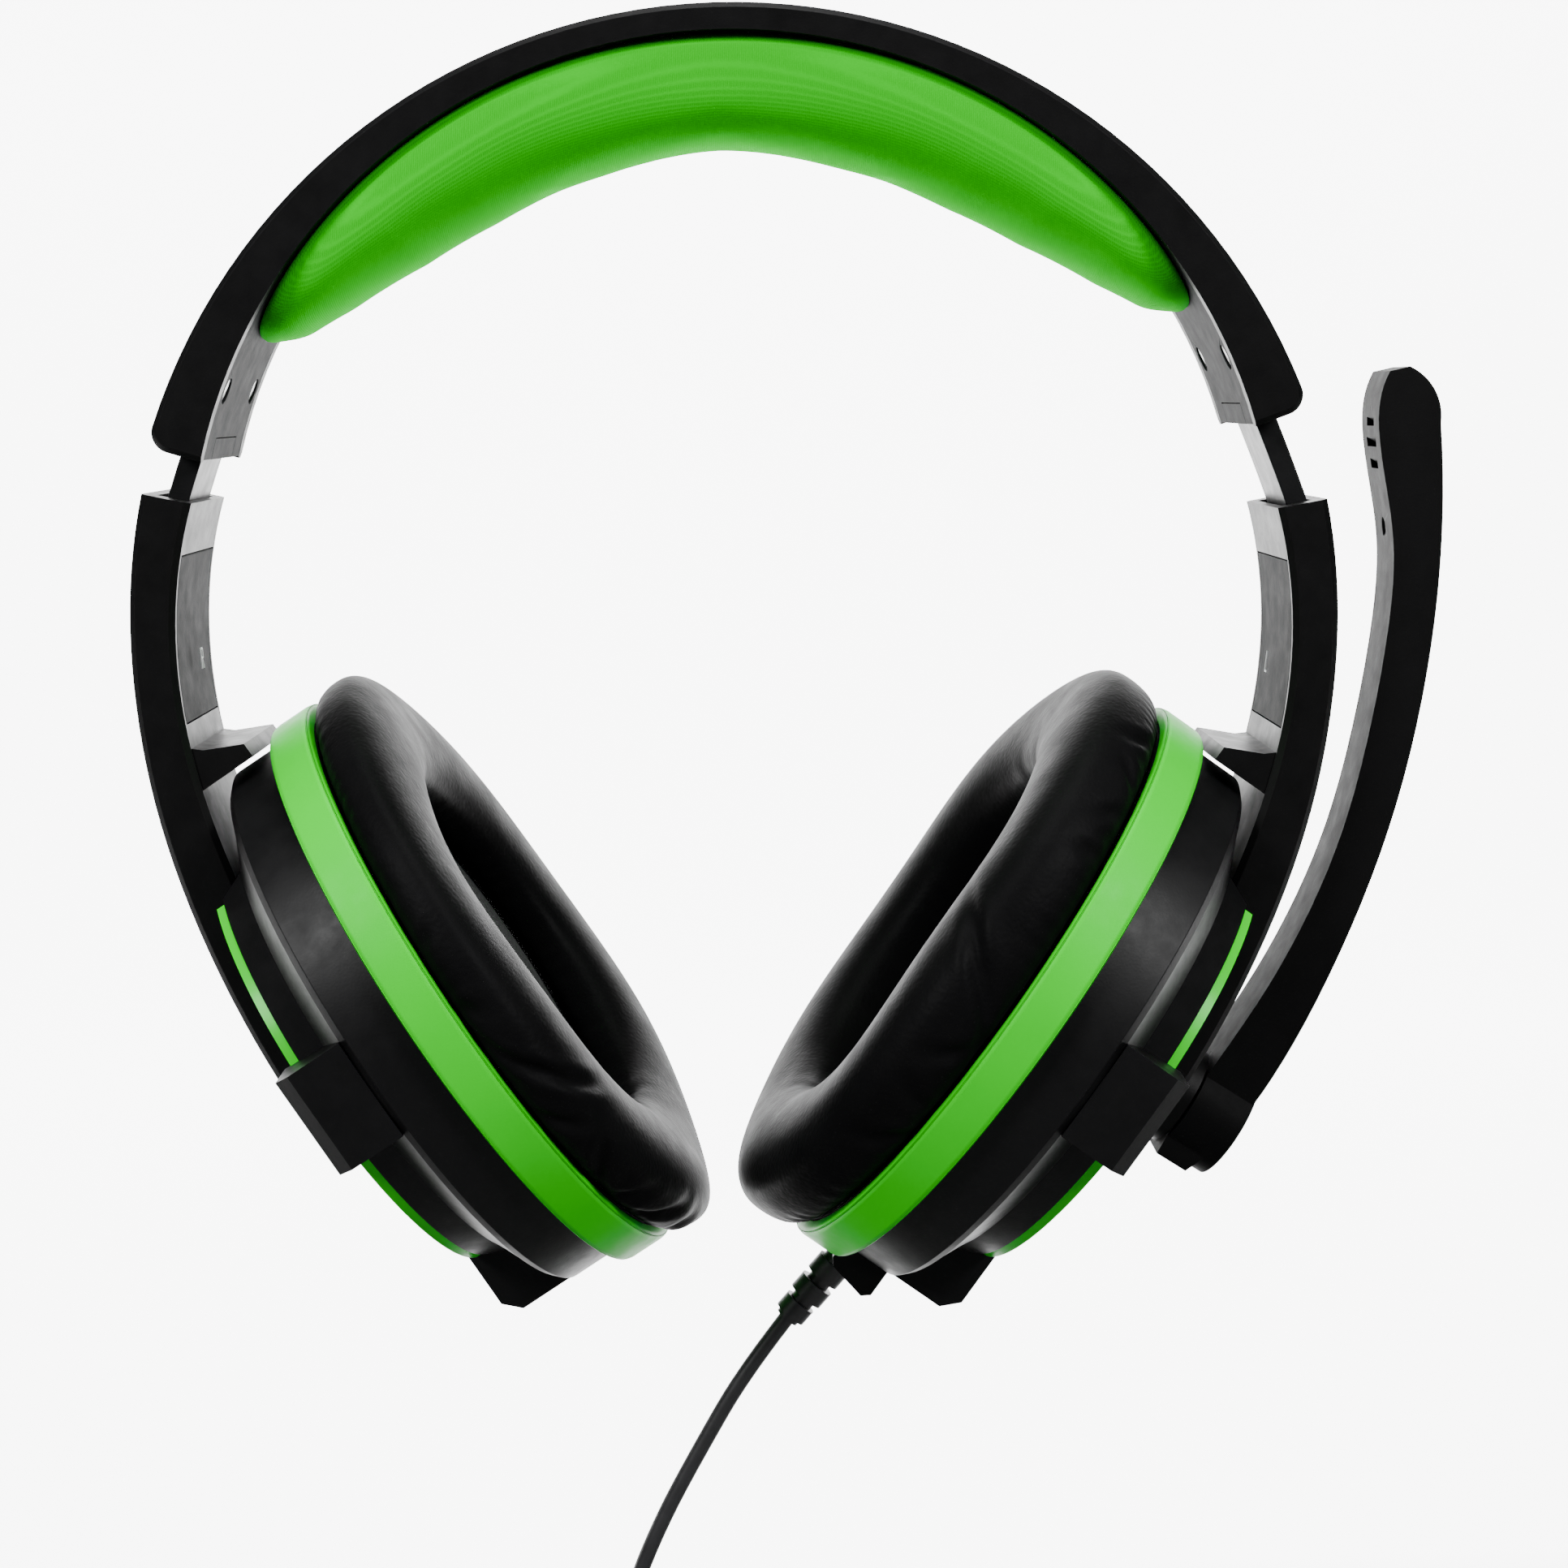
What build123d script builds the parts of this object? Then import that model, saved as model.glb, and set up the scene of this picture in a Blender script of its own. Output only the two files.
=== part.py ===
from build123d import *
import os
from math import cos, degrees, pi, radians, sin, tan

os.makedirs("parts", exist_ok=True)

# Over-ear gaming headset, millimetres, +Z up.
# The origin is where the headband pad rests on the crown of the head. +X is the wearer's left.
# Sides: RIGHT = -1 (towards -X), LEFT = +1 (towards +X).
RIGHT = -1
LEFT = 1
SIDE_NAMES = {RIGHT: "right", LEFT: "left"}

# ---------------------------------------------------------------- driving dimensions
ARC_Z = -70.0            # height of the headband arc's centre
BAND_R = 90.2            # outer radius of the headband
BAND_DOWN = 1.6          # its centre stands this far below the arc's centre
BAND_HALF = 18.5         # half depth of the headband, front to back
BAND_END = 18.0          # angle of each band end above the arc's centre
INNER_R = 80.1           # radius of the band's inner face
INNER_UP = 4.6           # its centre stands this far above the arc's centre
FLOOR_R = 87.8           # floor of the channel inside the shell
CHANNEL_HALF = 15.8      # half width of that channel

STRIP_R = 300.0          # radius that the slider strips are bent to
STRIP_LEAN = 21.0        # lean of the strip at the band's mouth
STRIP_MOUTH_R = 84.0     # distance of the strip from the arc's centre at the mouth
STRIP_HALF = 9.0         # half width of a strip
RUN_GAP = 0.3            # running clearance of the sliders
STRIP_LENGTH = 30.5      # strip inside the band when fully closed
ARM_GAP = 0.7            # space left between arm and band when closed

EXTENSION = {RIGHT: 4.5, LEFT: 8.9}     # how far each arm is drawn out at rest, degrees of arc
CUP_PLAY = {RIGHT: -0.45, LEFT: 0.45}   # cup tilt at rest, about its middle position

ARM_HALF = 15.5          # half depth of an arm
ARM_IN_R = 82.0          # inner face of the arm, top
HUB_X = 50.0             # cup's reference point in the arm's own frame
HUB_Z = -54.3
HUB_TILT = 27.8          # lean of the cup's plane in the arm's own frame
PIVOT_W = 15.0           # tilt pin, out from the cup's reference plane

RING_R = 49.4            # green trim ring
RING_W = 7.0
CUP_R = 47.0             # cup housing
CUP_W = 9.5
DISC_RIM = [(12.4, 40.0), (13.4, 38.4), (18.3, 36.5)]     # side of the outer disc, depth and radius
DISC_FOOT_R = 45.6       # where the disc meets the housing
DISC_W = 19.0            # flat top of the outer disc
ACCENT_OUT = 36.2        # green line round that top
ACCENT_IN = 35.0
ACCENT_LOW = 18.0
ACCENT_W = 19.5
CLAW_W = 20.7            # top of the claws on the outer disc
CLAW_IN = 34.3
CLAW_OUT = 46.1
CLAW_WIDTH = 16.1
CUSHION_OUT = 49.0
CUSHION_IN = 29.0
CUSHION_DEPTH = 13.2
BAFFLE_W = 2.0
WALL = 2.0

BOOM_TILT = 25.2         # lean of the microphone's pivot axis in the arm's own frame
BOOM_HALF = 6.5
BOOM_BASE_W = 31.5
BOOM_BASE_R = 8.5

CORD_R = 1.3
COIL_MID_R = 15.0
COIL_SECTION_R = 4.9
PLUG_R = 1.75


def polar(radius, angle):
    return (radius * cos(radians(angle)), radius * sin(radians(angle)))


def side_plane(side, origin=(0, 0, ARC_Z), turn=0.0):
    """Upright plane: local x outward on that side, tipped down by turn, local y up."""
    x_dir = (side * cos(radians(turn)), 0, -sin(radians(turn)))
    return Plane(origin=origin, x_dir=x_dir, z_dir=(0, -side, 0))


def place(plane, x, y, z=0.0):
    """A local point of a plane, in the part's frame."""
    return plane.from_local_coords(Vector(x, y, z))


def axial_plane(plane, along, across=0.0, deep=0.0):
    """Plane square to a side plane's local x, at that distance along it. Its x is front to back."""
    return Plane(origin=place(plane, along, across, deep), x_dir=plane.z_dir, z_dir=plane.x_dir)


def wedge(start, end, reach=420.0, mode=Mode.INTERSECT):
    """Sector between two angles, to cut rings with."""
    middle = (start + end) / 2
    Polygon((0, 0), polar(reach, start), polar(reach, middle), polar(reach, end), align=None, mode=mode)


def finish(builder, label):
    builder.part.label = label
    export_step(builder.part, f"parts/{label}.step")


# ---------------------------------------------------------------- derived places
FRONT = side_plane(LEFT)
ARM_PLANES = {side: side_plane(side, turn=EXTENSION[side]) for side in (RIGHT, LEFT)}
HUB_PLANES = {}
PIVOTS = {}
CUP_PLANES = {}
STRIP_PLANES = {}
strip_mouth = Vector(*polar(STRIP_MOUTH_R, BAND_END))
strip_centre = strip_mouth - Vector(*polar(STRIP_R, STRIP_LEAN))
for side in (RIGHT, LEFT):
    hub_turn = EXTENSION[side] + HUB_TILT
    HUB_PLANES[side] = side_plane(side, place(ARM_PLANES[side], HUB_X, HUB_Z), hub_turn)
    PIVOTS[side] = place(HUB_PLANES[side], PIVOT_W, 0)
    tilted = side_plane(side, PIVOTS[side], hub_turn + CUP_PLAY[side])
    CUP_PLANES[side] = side_plane(side, place(tilted, -PIVOT_W, 0), hub_turn + CUP_PLAY[side])
    STRIP_PLANES[side] = side_plane(side, place(side_plane(side), strip_centre.X, strip_centre.Y))
BOOM_PLANE = side_plane(LEFT, place(ARM_PLANES[LEFT], HUB_X, HUB_Z), EXTENSION[LEFT] + BOOM_TILT)


def strip_angle(distance):
    """Angle about the strip's centre, that far into the band from its mouth."""
    return STRIP_LEAN + degrees(distance / STRIP_R)


# ---------------------------------------------------------------- headband
with BuildPart() as headband_shell:
    with BuildSketch(FRONT) as shell_profile:
        with Locations((0, -BAND_DOWN)):
            Circle(BAND_R)
        with Locations((0, INNER_UP)):
            Circle(INNER_R, mode=Mode.SUBTRACT)
        wedge(BAND_END, 180 - BAND_END)
        fillet(shell_profile.vertices().sort_by(Axis.X)[:1] + shell_profile.vertices().sort_by(Axis.X)[-1:], 3.0)
    extrude(amount=BAND_HALF, both=True)
    outer_edges = headband_shell.edges().filter_by(GeomType.CIRCLE)
    outer_edges = outer_edges.filter_by(lambda e: abs(e.radius - BAND_R) < 0.01)
    chamfer(outer_edges, 0.8)
    with BuildSketch(FRONT):
        Circle(FLOOR_R)
        wedge(BAND_END - 4, 184 - BAND_END)
    extrude(amount=CHANNEL_HALF, both=True, mode=Mode.SUBTRACT)
finish(headband_shell, "headband_shell")

STEEL_END = 42.0
with BuildPart() as headband_spring_steel:
    with BuildSketch(FRONT):
        Circle(FLOOR_R - 0.1)
        Circle(FLOOR_R - 0.9, mode=Mode.SUBTRACT)
        wedge(STEEL_END, 180 - STEEL_END)
    extrude(amount=7.0, both=True)
finish(headband_spring_steel, "headband_spring_steel")

WIRE_Y = 11.0
with BuildPart() as crossover_wire:
    with BuildLine(Plane(origin=(0, WIRE_Y, ARC_Z), x_dir=(1, 0, 0), z_dir=(0, -1, 0))) as wire_path:
        CenterArc((0, 0), FLOOR_R - 1.3, STEEL_END, 180 - 2 * STEEL_END)
    with BuildSketch(Plane(origin=wire_path.line @ 0, z_dir=wire_path.line % 0)):
        Circle(0.6)
    sweep()
finish(crossover_wire, "crossover_wire")

PAD_BASE_END = 40.0
with BuildPart() as pad_base:
    with BuildSketch(FRONT):
        with Locations((0, INNER_UP)):
            Circle(INNER_R + 1.1)
            Circle(INNER_R + 0.1, mode=Mode.SUBTRACT)
        wedge(PAD_BASE_END, 180 - PAD_BASE_END)
    extrude(amount=CHANNEL_HALF - 0.3, both=True)
finish(pad_base, "pad_base")

PAD_HALF = 17.0
PAD_END = 32.0
PAD_INNER = [(33.0, 80.0), (40.0, 76.8), (50.0, 73.0), (60.0, 70.9), (75.0, 70.1), (90.0, 70.0)]
pad_inner_right = [polar(radius, angle) for angle, radius in PAD_INNER]
pad_inner_left = [(-x, y) for x, y in reversed(pad_inner_right[:-1])]
pad_back = Vector(*polar(82.2, PAD_END))
with BuildPart() as headband_pad:
    with BuildSketch(FRONT):
        with BuildLine():
            ThreePointArc(pad_back, (0, INNER_UP + INNER_R - 0.1), (-pad_back.X, pad_back.Y))
            Line((-pad_back.X, pad_back.Y), pad_inner_left[-1])
            Spline(pad_inner_right + pad_inner_left)
            Line(pad_inner_right[0], pad_back)
        make_face()
    extrude(amount=PAD_HALF, both=True)
finish(headband_pad, "headband_pad")

COVER_TOP = 39.0
COVER_HALF = CHANNEL_HALF - 0.1
SCREW_ANGLE = 25.6
SCREW_Y = 12.3
SCREW_HEAD_R = 1.9
THICK_RUN = 1.0          # the strip's thicker part ends this far inside the mouth at rest
STRIP_IN = 1.2           # strip thickness inwards of its middle line
STRIP_OUT_THICK = 2.0    # and outwards, where it shows
STRIP_OUT_THIN = 0.8     # and outwards, further in
TAIL_IN = 84.6           # the strip's end inside the arm
TAIL_OUT = 86.6
CLIP_TOP = 20.4
CLIP_THICK = 0.5


def screw_plane(side, front_back):
    """Plane on the band's inner face, looking out along the radius, for an end screw."""
    flat = side_plane(side, turn=-SCREW_ANGLE)
    return Plane(origin=place(flat, 81.9, 0, front_back), x_dir=flat.z_dir, z_dir=flat.x_dir)


def band_ring(outer_up, inner_up, start, end):
    """Ring sector that follows the band's inner face, between two heights above it."""
    with Locations((0, INNER_UP)):
        Circle(INNER_R + outer_up)
        Circle(INNER_R + inner_up, mode=Mode.SUBTRACT)
    wedge(start, end)


for side in (RIGHT, LEFT):
    name = SIDE_NAMES[side]
    rest_gap = radians(EXTENSION[side]) * STRIP_MOUTH_R
    closing = rest_gap - ARM_GAP
    with BuildPart() as end_cover:
        with BuildSketch(side_plane(side)):
            Circle(FLOOR_R - 0.05)
            with Locations((0, INNER_UP)):
                Circle(INNER_R, mode=Mode.SUBTRACT)
            wedge(BAND_END + 0.2, COVER_TOP)
        extrude(amount=COVER_HALF, both=True)
        with BuildSketch(STRIP_PLANES[side]):
            Circle(STRIP_R + STRIP_OUT_THICK + RUN_GAP)
            Circle(STRIP_R - STRIP_IN - RUN_GAP, mode=Mode.SUBTRACT)
            wedge(strip_angle(-5), strip_angle(THICK_RUN + closing + 0.6))
        extrude(amount=STRIP_HALF + RUN_GAP, both=True, mode=Mode.SUBTRACT)
        with BuildSketch(STRIP_PLANES[side]):
            Circle(STRIP_R + STRIP_OUT_THIN + RUN_GAP)
            Circle(STRIP_R - STRIP_IN - RUN_GAP, mode=Mode.SUBTRACT)
            wedge(strip_angle(-5), strip_angle(STRIP_LENGTH + 1.0))
        extrude(amount=STRIP_HALF + RUN_GAP, both=True, mode=Mode.SUBTRACT)
        with BuildSketch(side_plane(side)):
            band_ring(CLIP_THICK, -1.0, BAND_END, CLIP_TOP + 0.1)
        extrude(amount=STRIP_HALF + 0.1, both=True, mode=Mode.SUBTRACT)
        for front_back in (-SCREW_Y, SCREW_Y):
            with Locations(screw_plane(side, front_back)):
                Cylinder(SCREW_HEAD_R + 0.1, 3.0, mode=Mode.SUBTRACT)
                Cylinder(1.0, 14.0, mode=Mode.SUBTRACT)
    finish(end_cover, f"{name}_end_cover")

    with BuildPart() as slider_clip:
        with BuildSketch(side_plane(side)):
            band_ring(CLIP_THICK - 0.05, 0.0, BAND_END + 0.2, CLIP_TOP)
        extrude(amount=STRIP_HALF, both=True)
    finish(slider_clip, f"{name}_slider_clip")

    with BuildPart() as slider_strip:
        with BuildSketch(STRIP_PLANES[side]):
            Circle(STRIP_R + STRIP_OUT_THIN)
            Circle(STRIP_R - STRIP_IN, mode=Mode.SUBTRACT)
            wedge(strip_angle(-rest_gap - 2.5), strip_angle(STRIP_LENGTH - closing))
        extrude(amount=STRIP_HALF, both=True)
        with BuildSketch(STRIP_PLANES[side]):
            Circle(STRIP_R + STRIP_OUT_THICK)
            Circle(STRIP_R - STRIP_IN, mode=Mode.SUBTRACT)
            wedge(strip_angle(-rest_gap - 2.5), strip_angle(THICK_RUN))
        extrude(amount=STRIP_HALF, both=True)
        with BuildSketch(ARM_PLANES[side]):
            Circle(TAIL_OUT)
            Circle(TAIL_IN, mode=Mode.SUBTRACT)
            wedge(BAND_END - 9.0, BAND_END - 0.5)
        extrude(amount=STRIP_HALF, both=True)
    finish(slider_strip, f"{name}_slider_strip")

with BuildPart() as end_cover_screws:
    for side in (RIGHT, LEFT):
        for front_back in (-SCREW_Y, SCREW_Y):
            plane = screw_plane(side, front_back)
            with BuildSketch(plane.offset(0.4)):
                Circle(SCREW_HEAD_R)
            extrude(amount=1.1)
            with BuildSketch(plane.offset(1.5)):
                Circle(0.95)
            extrude(amount=3.6)
finish(end_cover_screws, "end_cover_screws")

# ---------------------------------------------------------------- arms
ARM_OUTER = [(85.1, 27.6), (88.8, 13.0), (90.2, -4.0), (89.4, -18.6), (86.6, -33.8)]
ARM_BEND = (81.9, -49.4)         # where the arm starts to follow the cup
ARM_FOOT = (70.8, -74.0)         # outer bottom corner
ARM_FOOT_IN = (63.8, -71.0)
ARM_BEND_IN = (73.2, -47.8)
ARM_WAIST_IN = (82.3, -16.0)
COVER_FROM = -5.0                # inner cover of the arm, between these angles
COVER_TO = 12.5
PIN_R = 1.5
LUG_R = 4.0
LUG_HALF = 5.7
LUG_POCKET_HALF = 6.0
PIN_HALF = 9.5
RIM_FROM = 83.0          # the outer edges are chamfered outside this distance
RIM_SHORTEST = 30.0
ARM_FIN = [(2.0, 47.7), (2.0, 50.0), (7.5, 52.6), (12.5, 57.0), (15.0, 47.7)]
MIC_BOSS_R = 8.0
MIC_PIN_R = 2.0

for side in (RIGHT, LEFT):
    name = SIDE_NAMES[side]
    arm_plane = ARM_PLANES[side]
    hub = HUB_PLANES[side]
    with BuildPart() as arm_shell:
        with BuildSketch(arm_plane) as arm_profile:
            with BuildLine():
                upper = Spline(*ARM_OUTER, ARM_BEND)
                lower = TangentArc(upper @ 1, ARM_FOOT, tangent=upper % 1)
                foot = Line(lower @ 1, ARM_FOOT_IN)
                inner = Spline(ARM_FOOT_IN, ARM_BEND_IN, ARM_WAIST_IN, polar(ARM_IN_R, BAND_END))
                Line(inner @ 1, upper @ 0)
            make_face()
            fillet(arm_profile.vertices().sort_by(Axis.Y)[:2], 2.2)
        extrude(amount=ARM_HALF, both=True)
        rim = arm_shell.edges().filter_by(lambda e: abs(abs(e.center().Y) - ARM_HALF) < 0.01)
        rim = rim.filter_by(lambda e: arm_plane.to_local_coords(e.center()).X > RIM_FROM)
        chamfer(rim.filter_by(lambda e: e.length > RIM_SHORTEST), 0.9)
        with BuildSketch(hub):
            Polygon(*ARM_FIN, align=None)
        extrude(amount=ARM_HALF - 1.2, both=True)
        with BuildSketch(hub):
            with Locations((PIVOT_W, 0)):
                Circle(LUG_R)
            with Locations((PIVOT_W + 3.5, 0)):
                Rectangle(7.0, 2 * LUG_R)
        extrude(amount=LUG_HALF, both=True)
        with BuildSketch(arm_plane):
            Circle(FLOOR_R)
            Circle(ARM_IN_R + 1.2, mode=Mode.SUBTRACT)
            wedge(COVER_FROM, BAND_END + 3)
        extrude(amount=STRIP_HALF + 2.0, both=True, mode=Mode.SUBTRACT)
        with BuildSketch(arm_plane):
            Circle(FLOOR_R - 0.5)
            Circle(ARM_IN_R - 3.0, mode=Mode.SUBTRACT)
            wedge(COVER_FROM, COVER_TO)
        extrude(amount=ARM_HALF - 1.8, both=True, mode=Mode.SUBTRACT)
        with BuildSketch(hub):
            with Locations((PIVOT_W, 0)):
                Circle(PIN_R + 0.05)
        extrude(amount=LUG_HALF + 1, both=True, mode=Mode.SUBTRACT)
        if side == LEFT:
            with BuildSketch(axial_plane(BOOM_PLANE, 23.0)):
                Circle(MIC_BOSS_R)
            extrude(amount=BOOM_BASE_W - 23.3)
            with BuildSketch(axial_plane(BOOM_PLANE, 22.0)):
                Circle(MIC_PIN_R)
            extrude(amount=12.0, mode=Mode.SUBTRACT)
    finish(arm_shell, f"{name}_arm_shell")

    with BuildPart() as arm_inner_cover:
        with BuildSketch(arm_plane):
            with BuildLine():
                face = Spline(ARM_FOOT_IN, ARM_BEND_IN, ARM_WAIST_IN, polar(ARM_IN_R, BAND_END))
                back = Spline(*[p + Vector(1.4, 0) for p in (face @ 0, face @ 0.35, face @ 0.65, face @ 1)])
                Line(face @ 1, back @ 1)
                Line(back @ 0, face @ 0)
            make_face()
            wedge(COVER_FROM + 0.15, COVER_TO - 0.15)
        extrude(amount=ARM_HALF - 1.95, both=True)
    finish(arm_inner_cover, f"{name}_arm_inner_cover")

# ---------------------------------------------------------------- ear cups
RECESS = [
    (19.8, -15.0),
    (18.0, -13.6),
    (18.4, 0.0),
    (16.1, 16.6),
    (11.9, 35.0),
    (9.5, 45.0),
    (9.5, 52.0),
    (30.0, 52.0),
    (30.0, -15.0),
]
CLAW_ANGLES = (0, 90, 180)       # front or back, bottom, back or front
HOLLOW_R = 33.0                  # the outer disc is hollow beside the arm
HOLLOW_DEPTH = 7.0
CHANNEL_BLOCK = (37.0, 52.0)     # solid part of the disc under the arm
CHANNEL_BLOCK_AT = -9.0
BOSS_R = 3.0
CLAW_CHAMFER = 2.5
DRIVER_R = 26.0
MAGNET_R = 14.0
SCREW_RING_R = 33.0
DIAPHRAGM_FRONT = [(-4.9, 0), (-4.5, 6.0), (-3.3, 9.5), (-4.3, 13.0), (-4.7, 16.5), (-4.4, 20.0), (-4.0, 22.7)]


for side in (RIGHT, LEFT):
    name = SIDE_NAMES[side]
    cup = CUP_PLANES[side]
    spin = Axis(cup.origin, cup.x_dir)

    with BuildPart() as cup_housing:
        with BuildSketch(cup):
            with BuildLine():
                Polyline(
                    (-RING_W + BAFFLE_W, CUP_R - 0.1),
                    (-0.0, CUP_R - 0.1),
                    (-0.0, CUP_R),
                    (CUP_W - 1.2, CUP_R),
                    (CUP_W, CUP_R - 1.2),
                    (CUP_W, 0),
                    (CUP_W - WALL, 0),
                    (CUP_W - WALL, CUP_R - WALL),
                    (-RING_W + BAFFLE_W, CUP_R - WALL),
                    close=True,
                )
            make_face()
        revolve(axis=spin)
        with BuildSketch(axial_plane(cup, CUP_W - WALL)):
            with PolarLocations(SCREW_RING_R, 4, start_angle=45):
                Circle(1.15)
        extrude(amount=WALL, mode=Mode.SUBTRACT)
    finish(cup_housing, f"{name}_cup_housing")

    with BuildPart() as trim_ring:
        with BuildSketch(cup):
            with BuildLine():
                Polyline(
                    (-RING_W, CUP_R),
                    (-RING_W, RING_R - 0.5),
                    (-RING_W + 0.5, RING_R),
                    (-0.5, RING_R),
                    (0.0, RING_R - 0.5),
                    (0.0, CUP_R),
                    close=True,
                )
            make_face()
        revolve(axis=spin)
    finish(trim_ring, f"{name}_trim_ring")

    disc_plane = axial_plane(cup, CUP_W)
    with BuildPart() as outer_disc:
        with BuildSketch(cup):
            Polygon(
                (CUP_W, 0),
                (CUP_W, DISC_FOOT_R),
                *DISC_RIM,
                (DISC_W, ACCENT_IN),
                (DISC_W, 0),
                align=None,
            )
        revolve(axis=spin)
        with BuildSketch(axial_plane(cup, ACCENT_LOW)):
            Circle(DISC_FOOT_R)
            Circle(ACCENT_IN, mode=Mode.SUBTRACT)
        extrude(amount=DISC_W - ACCENT_LOW, mode=Mode.SUBTRACT)
        for angle in CLAW_ANGLES:
            spot = Plane(disc_plane.location * Location((0, 0, 0), (0, 0, angle)))
            with BuildSketch(spot):
                with Locations(((CLAW_IN + CLAW_OUT) / 2, 0)):
                    Rectangle(CLAW_OUT - CLAW_IN, CLAW_WIDTH)
            extrude(amount=CLAW_W - CUP_W)
            block_top = place(spot, CLAW_OUT + 1, 0, CLAW_W - CUP_W)
            edge = outer_disc.edges().sort_by_distance(block_top)[0]
            chamfer(edge, CLAW_CHAMFER)
        with BuildSketch(disc_plane):
            Circle(HOLLOW_R)
            with Locations((0, CHANNEL_BLOCK_AT)):
                Rectangle(*CHANNEL_BLOCK, mode=Mode.SUBTRACT)
            with PolarLocations(SCREW_RING_R, 4, start_angle=45):
                Circle(BOSS_R, mode=Mode.SUBTRACT)
        extrude(amount=HOLLOW_DEPTH, mode=Mode.SUBTRACT)
        with BuildSketch(cup):
            Polygon(*RECESS, align=None)
        extrude(amount=ARM_HALF + 1, both=True, mode=Mode.SUBTRACT)
        with BuildSketch(cup):
            with Locations((PIVOT_W, 0)):
                Rectangle(2 * (LUG_R + 0.7), 2 * (LUG_R + 3.0))
        extrude(amount=LUG_POCKET_HALF, both=True, mode=Mode.SUBTRACT)
        with BuildSketch(cup):
            with Locations((PIVOT_W, 0)):
                Circle(PIN_R)
        extrude(amount=PIN_HALF, both=True, mode=Mode.SUBTRACT)
        with BuildSketch(disc_plane):
            with PolarLocations(SCREW_RING_R, 4, start_angle=45):
                Circle(0.95)
        extrude(amount=3.5, mode=Mode.SUBTRACT)
    finish(outer_disc, f"{name}_outer_disc")

    with BuildPart() as accent_line:
        with BuildSketch(axial_plane(cup, ACCENT_LOW)):
            Circle(ACCENT_OUT)
            Circle(ACCENT_IN, mode=Mode.SUBTRACT)
        extrude(amount=ACCENT_W - ACCENT_LOW)
        with BuildSketch(cup):
            Polygon(*RECESS, align=None)
        extrude(amount=ARM_HALF + 1.5, both=True, mode=Mode.SUBTRACT)
        for angle in CLAW_ANGLES:
            spot = Plane(disc_plane.location * Location((0, 0, 0), (0, 0, angle)))
            with BuildSketch(spot):
                with Locations((CLAW_IN, 0)):
                    Rectangle(CLAW_OUT - CLAW_IN, CLAW_WIDTH)
            extrude(amount=CLAW_W - CUP_W, mode=Mode.SUBTRACT)
    finish(accent_line, f"{name}_accent_line")

    with BuildPart() as tilt_pin:
        with BuildSketch(cup):
            with Locations((PIVOT_W, 0)):
                Circle(PIN_R)
        extrude(amount=PIN_HALF, both=True)
    finish(tilt_pin, f"{name}_tilt_pin")

    with BuildPart() as cup_screws:
        with BuildSketch(axial_plane(cup, CUP_W - WALL - 1.3)):
            with PolarLocations(SCREW_RING_R, 4, start_angle=45):
                Circle(2.0)
        extrude(amount=1.3)
        with BuildSketch(axial_plane(cup, CUP_W - WALL)):
            with PolarLocations(SCREW_RING_R, 4, start_angle=45):
                Circle(0.9)
        extrude(amount=WALL + 3.0)
    finish(cup_screws, f"{name}_cup_screws")

    with BuildPart() as baffle:
        with BuildSketch(axial_plane(cup, -RING_W)):
            Circle(CUP_R - 0.15)
            Circle(DRIVER_R - 2.5, mode=Mode.SUBTRACT)
        extrude(amount=BAFFLE_W - 0.05)
    finish(baffle, f"{name}_baffle")

    with BuildPart() as driver_frame:
        with BuildSketch(cup):
            with BuildLine():
                Polyline(
                    (-5.0, DRIVER_R),
                    (-5.0, DRIVER_R - 3.0),
                    (-3.5, DRIVER_R - 3.0),
                    (-0.6, MAGNET_R + 0.1),
                    (1.2, MAGNET_R + 0.1),
                    (1.2, MAGNET_R + 3.0),
                    (-2.0, DRIVER_R),
                    close=True,
                )
            make_face()
        revolve(axis=spin)
    finish(driver_frame, f"{name}_driver_frame")

    with BuildPart() as driver_magnet:
        with BuildSketch(axial_plane(cup, -1.2)):
            Circle(MAGNET_R)
        extrude(amount=7.5)
        chamfer(driver_magnet.edges(), 0.6)
    finish(driver_magnet, f"{name}_driver_magnet")

    with BuildPart() as driver_diaphragm:
        with BuildSketch(cup):
            with BuildLine():
                Polyline(DIAPHRAGM_FRONT + [(w + 0.25, r) for w, r in reversed(DIAPHRAGM_FRONT)], close=True)
            make_face()
        revolve(axis=spin)
    finish(driver_diaphragm, f"{name}_driver_diaphragm")

    with BuildPart() as speaker_cloth:
        with BuildSketch(axial_plane(cup, -RING_W - 0.5)):
            Circle(CUSHION_IN - 0.3)
        extrude(amount=0.45)
    finish(speaker_cloth, f"{name}_speaker_cloth")

    cushion_mid = (CUSHION_OUT + CUSHION_IN) / 2
    with BuildPart() as ear_cushion:
        with BuildSketch(cup):
            with Locations((-RING_W - 0.1 - CUSHION_DEPTH / 2, cushion_mid)):
                RectangleRounded(CUSHION_DEPTH, CUSHION_OUT - CUSHION_IN, 6.2)
        revolve(axis=spin)
    finish(ear_cushion, f"{name}_ear_cushion")

cup = CUP_PLANES[LEFT]
with BuildPart() as junction_board:
    with BuildSketch(axial_plane(cup, CUP_W - WALL - 2.0, -30.0)):
        Rectangle(20.0, 12.0)
    extrude(amount=1.2)
finish(junction_board, "junction_board")

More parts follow.
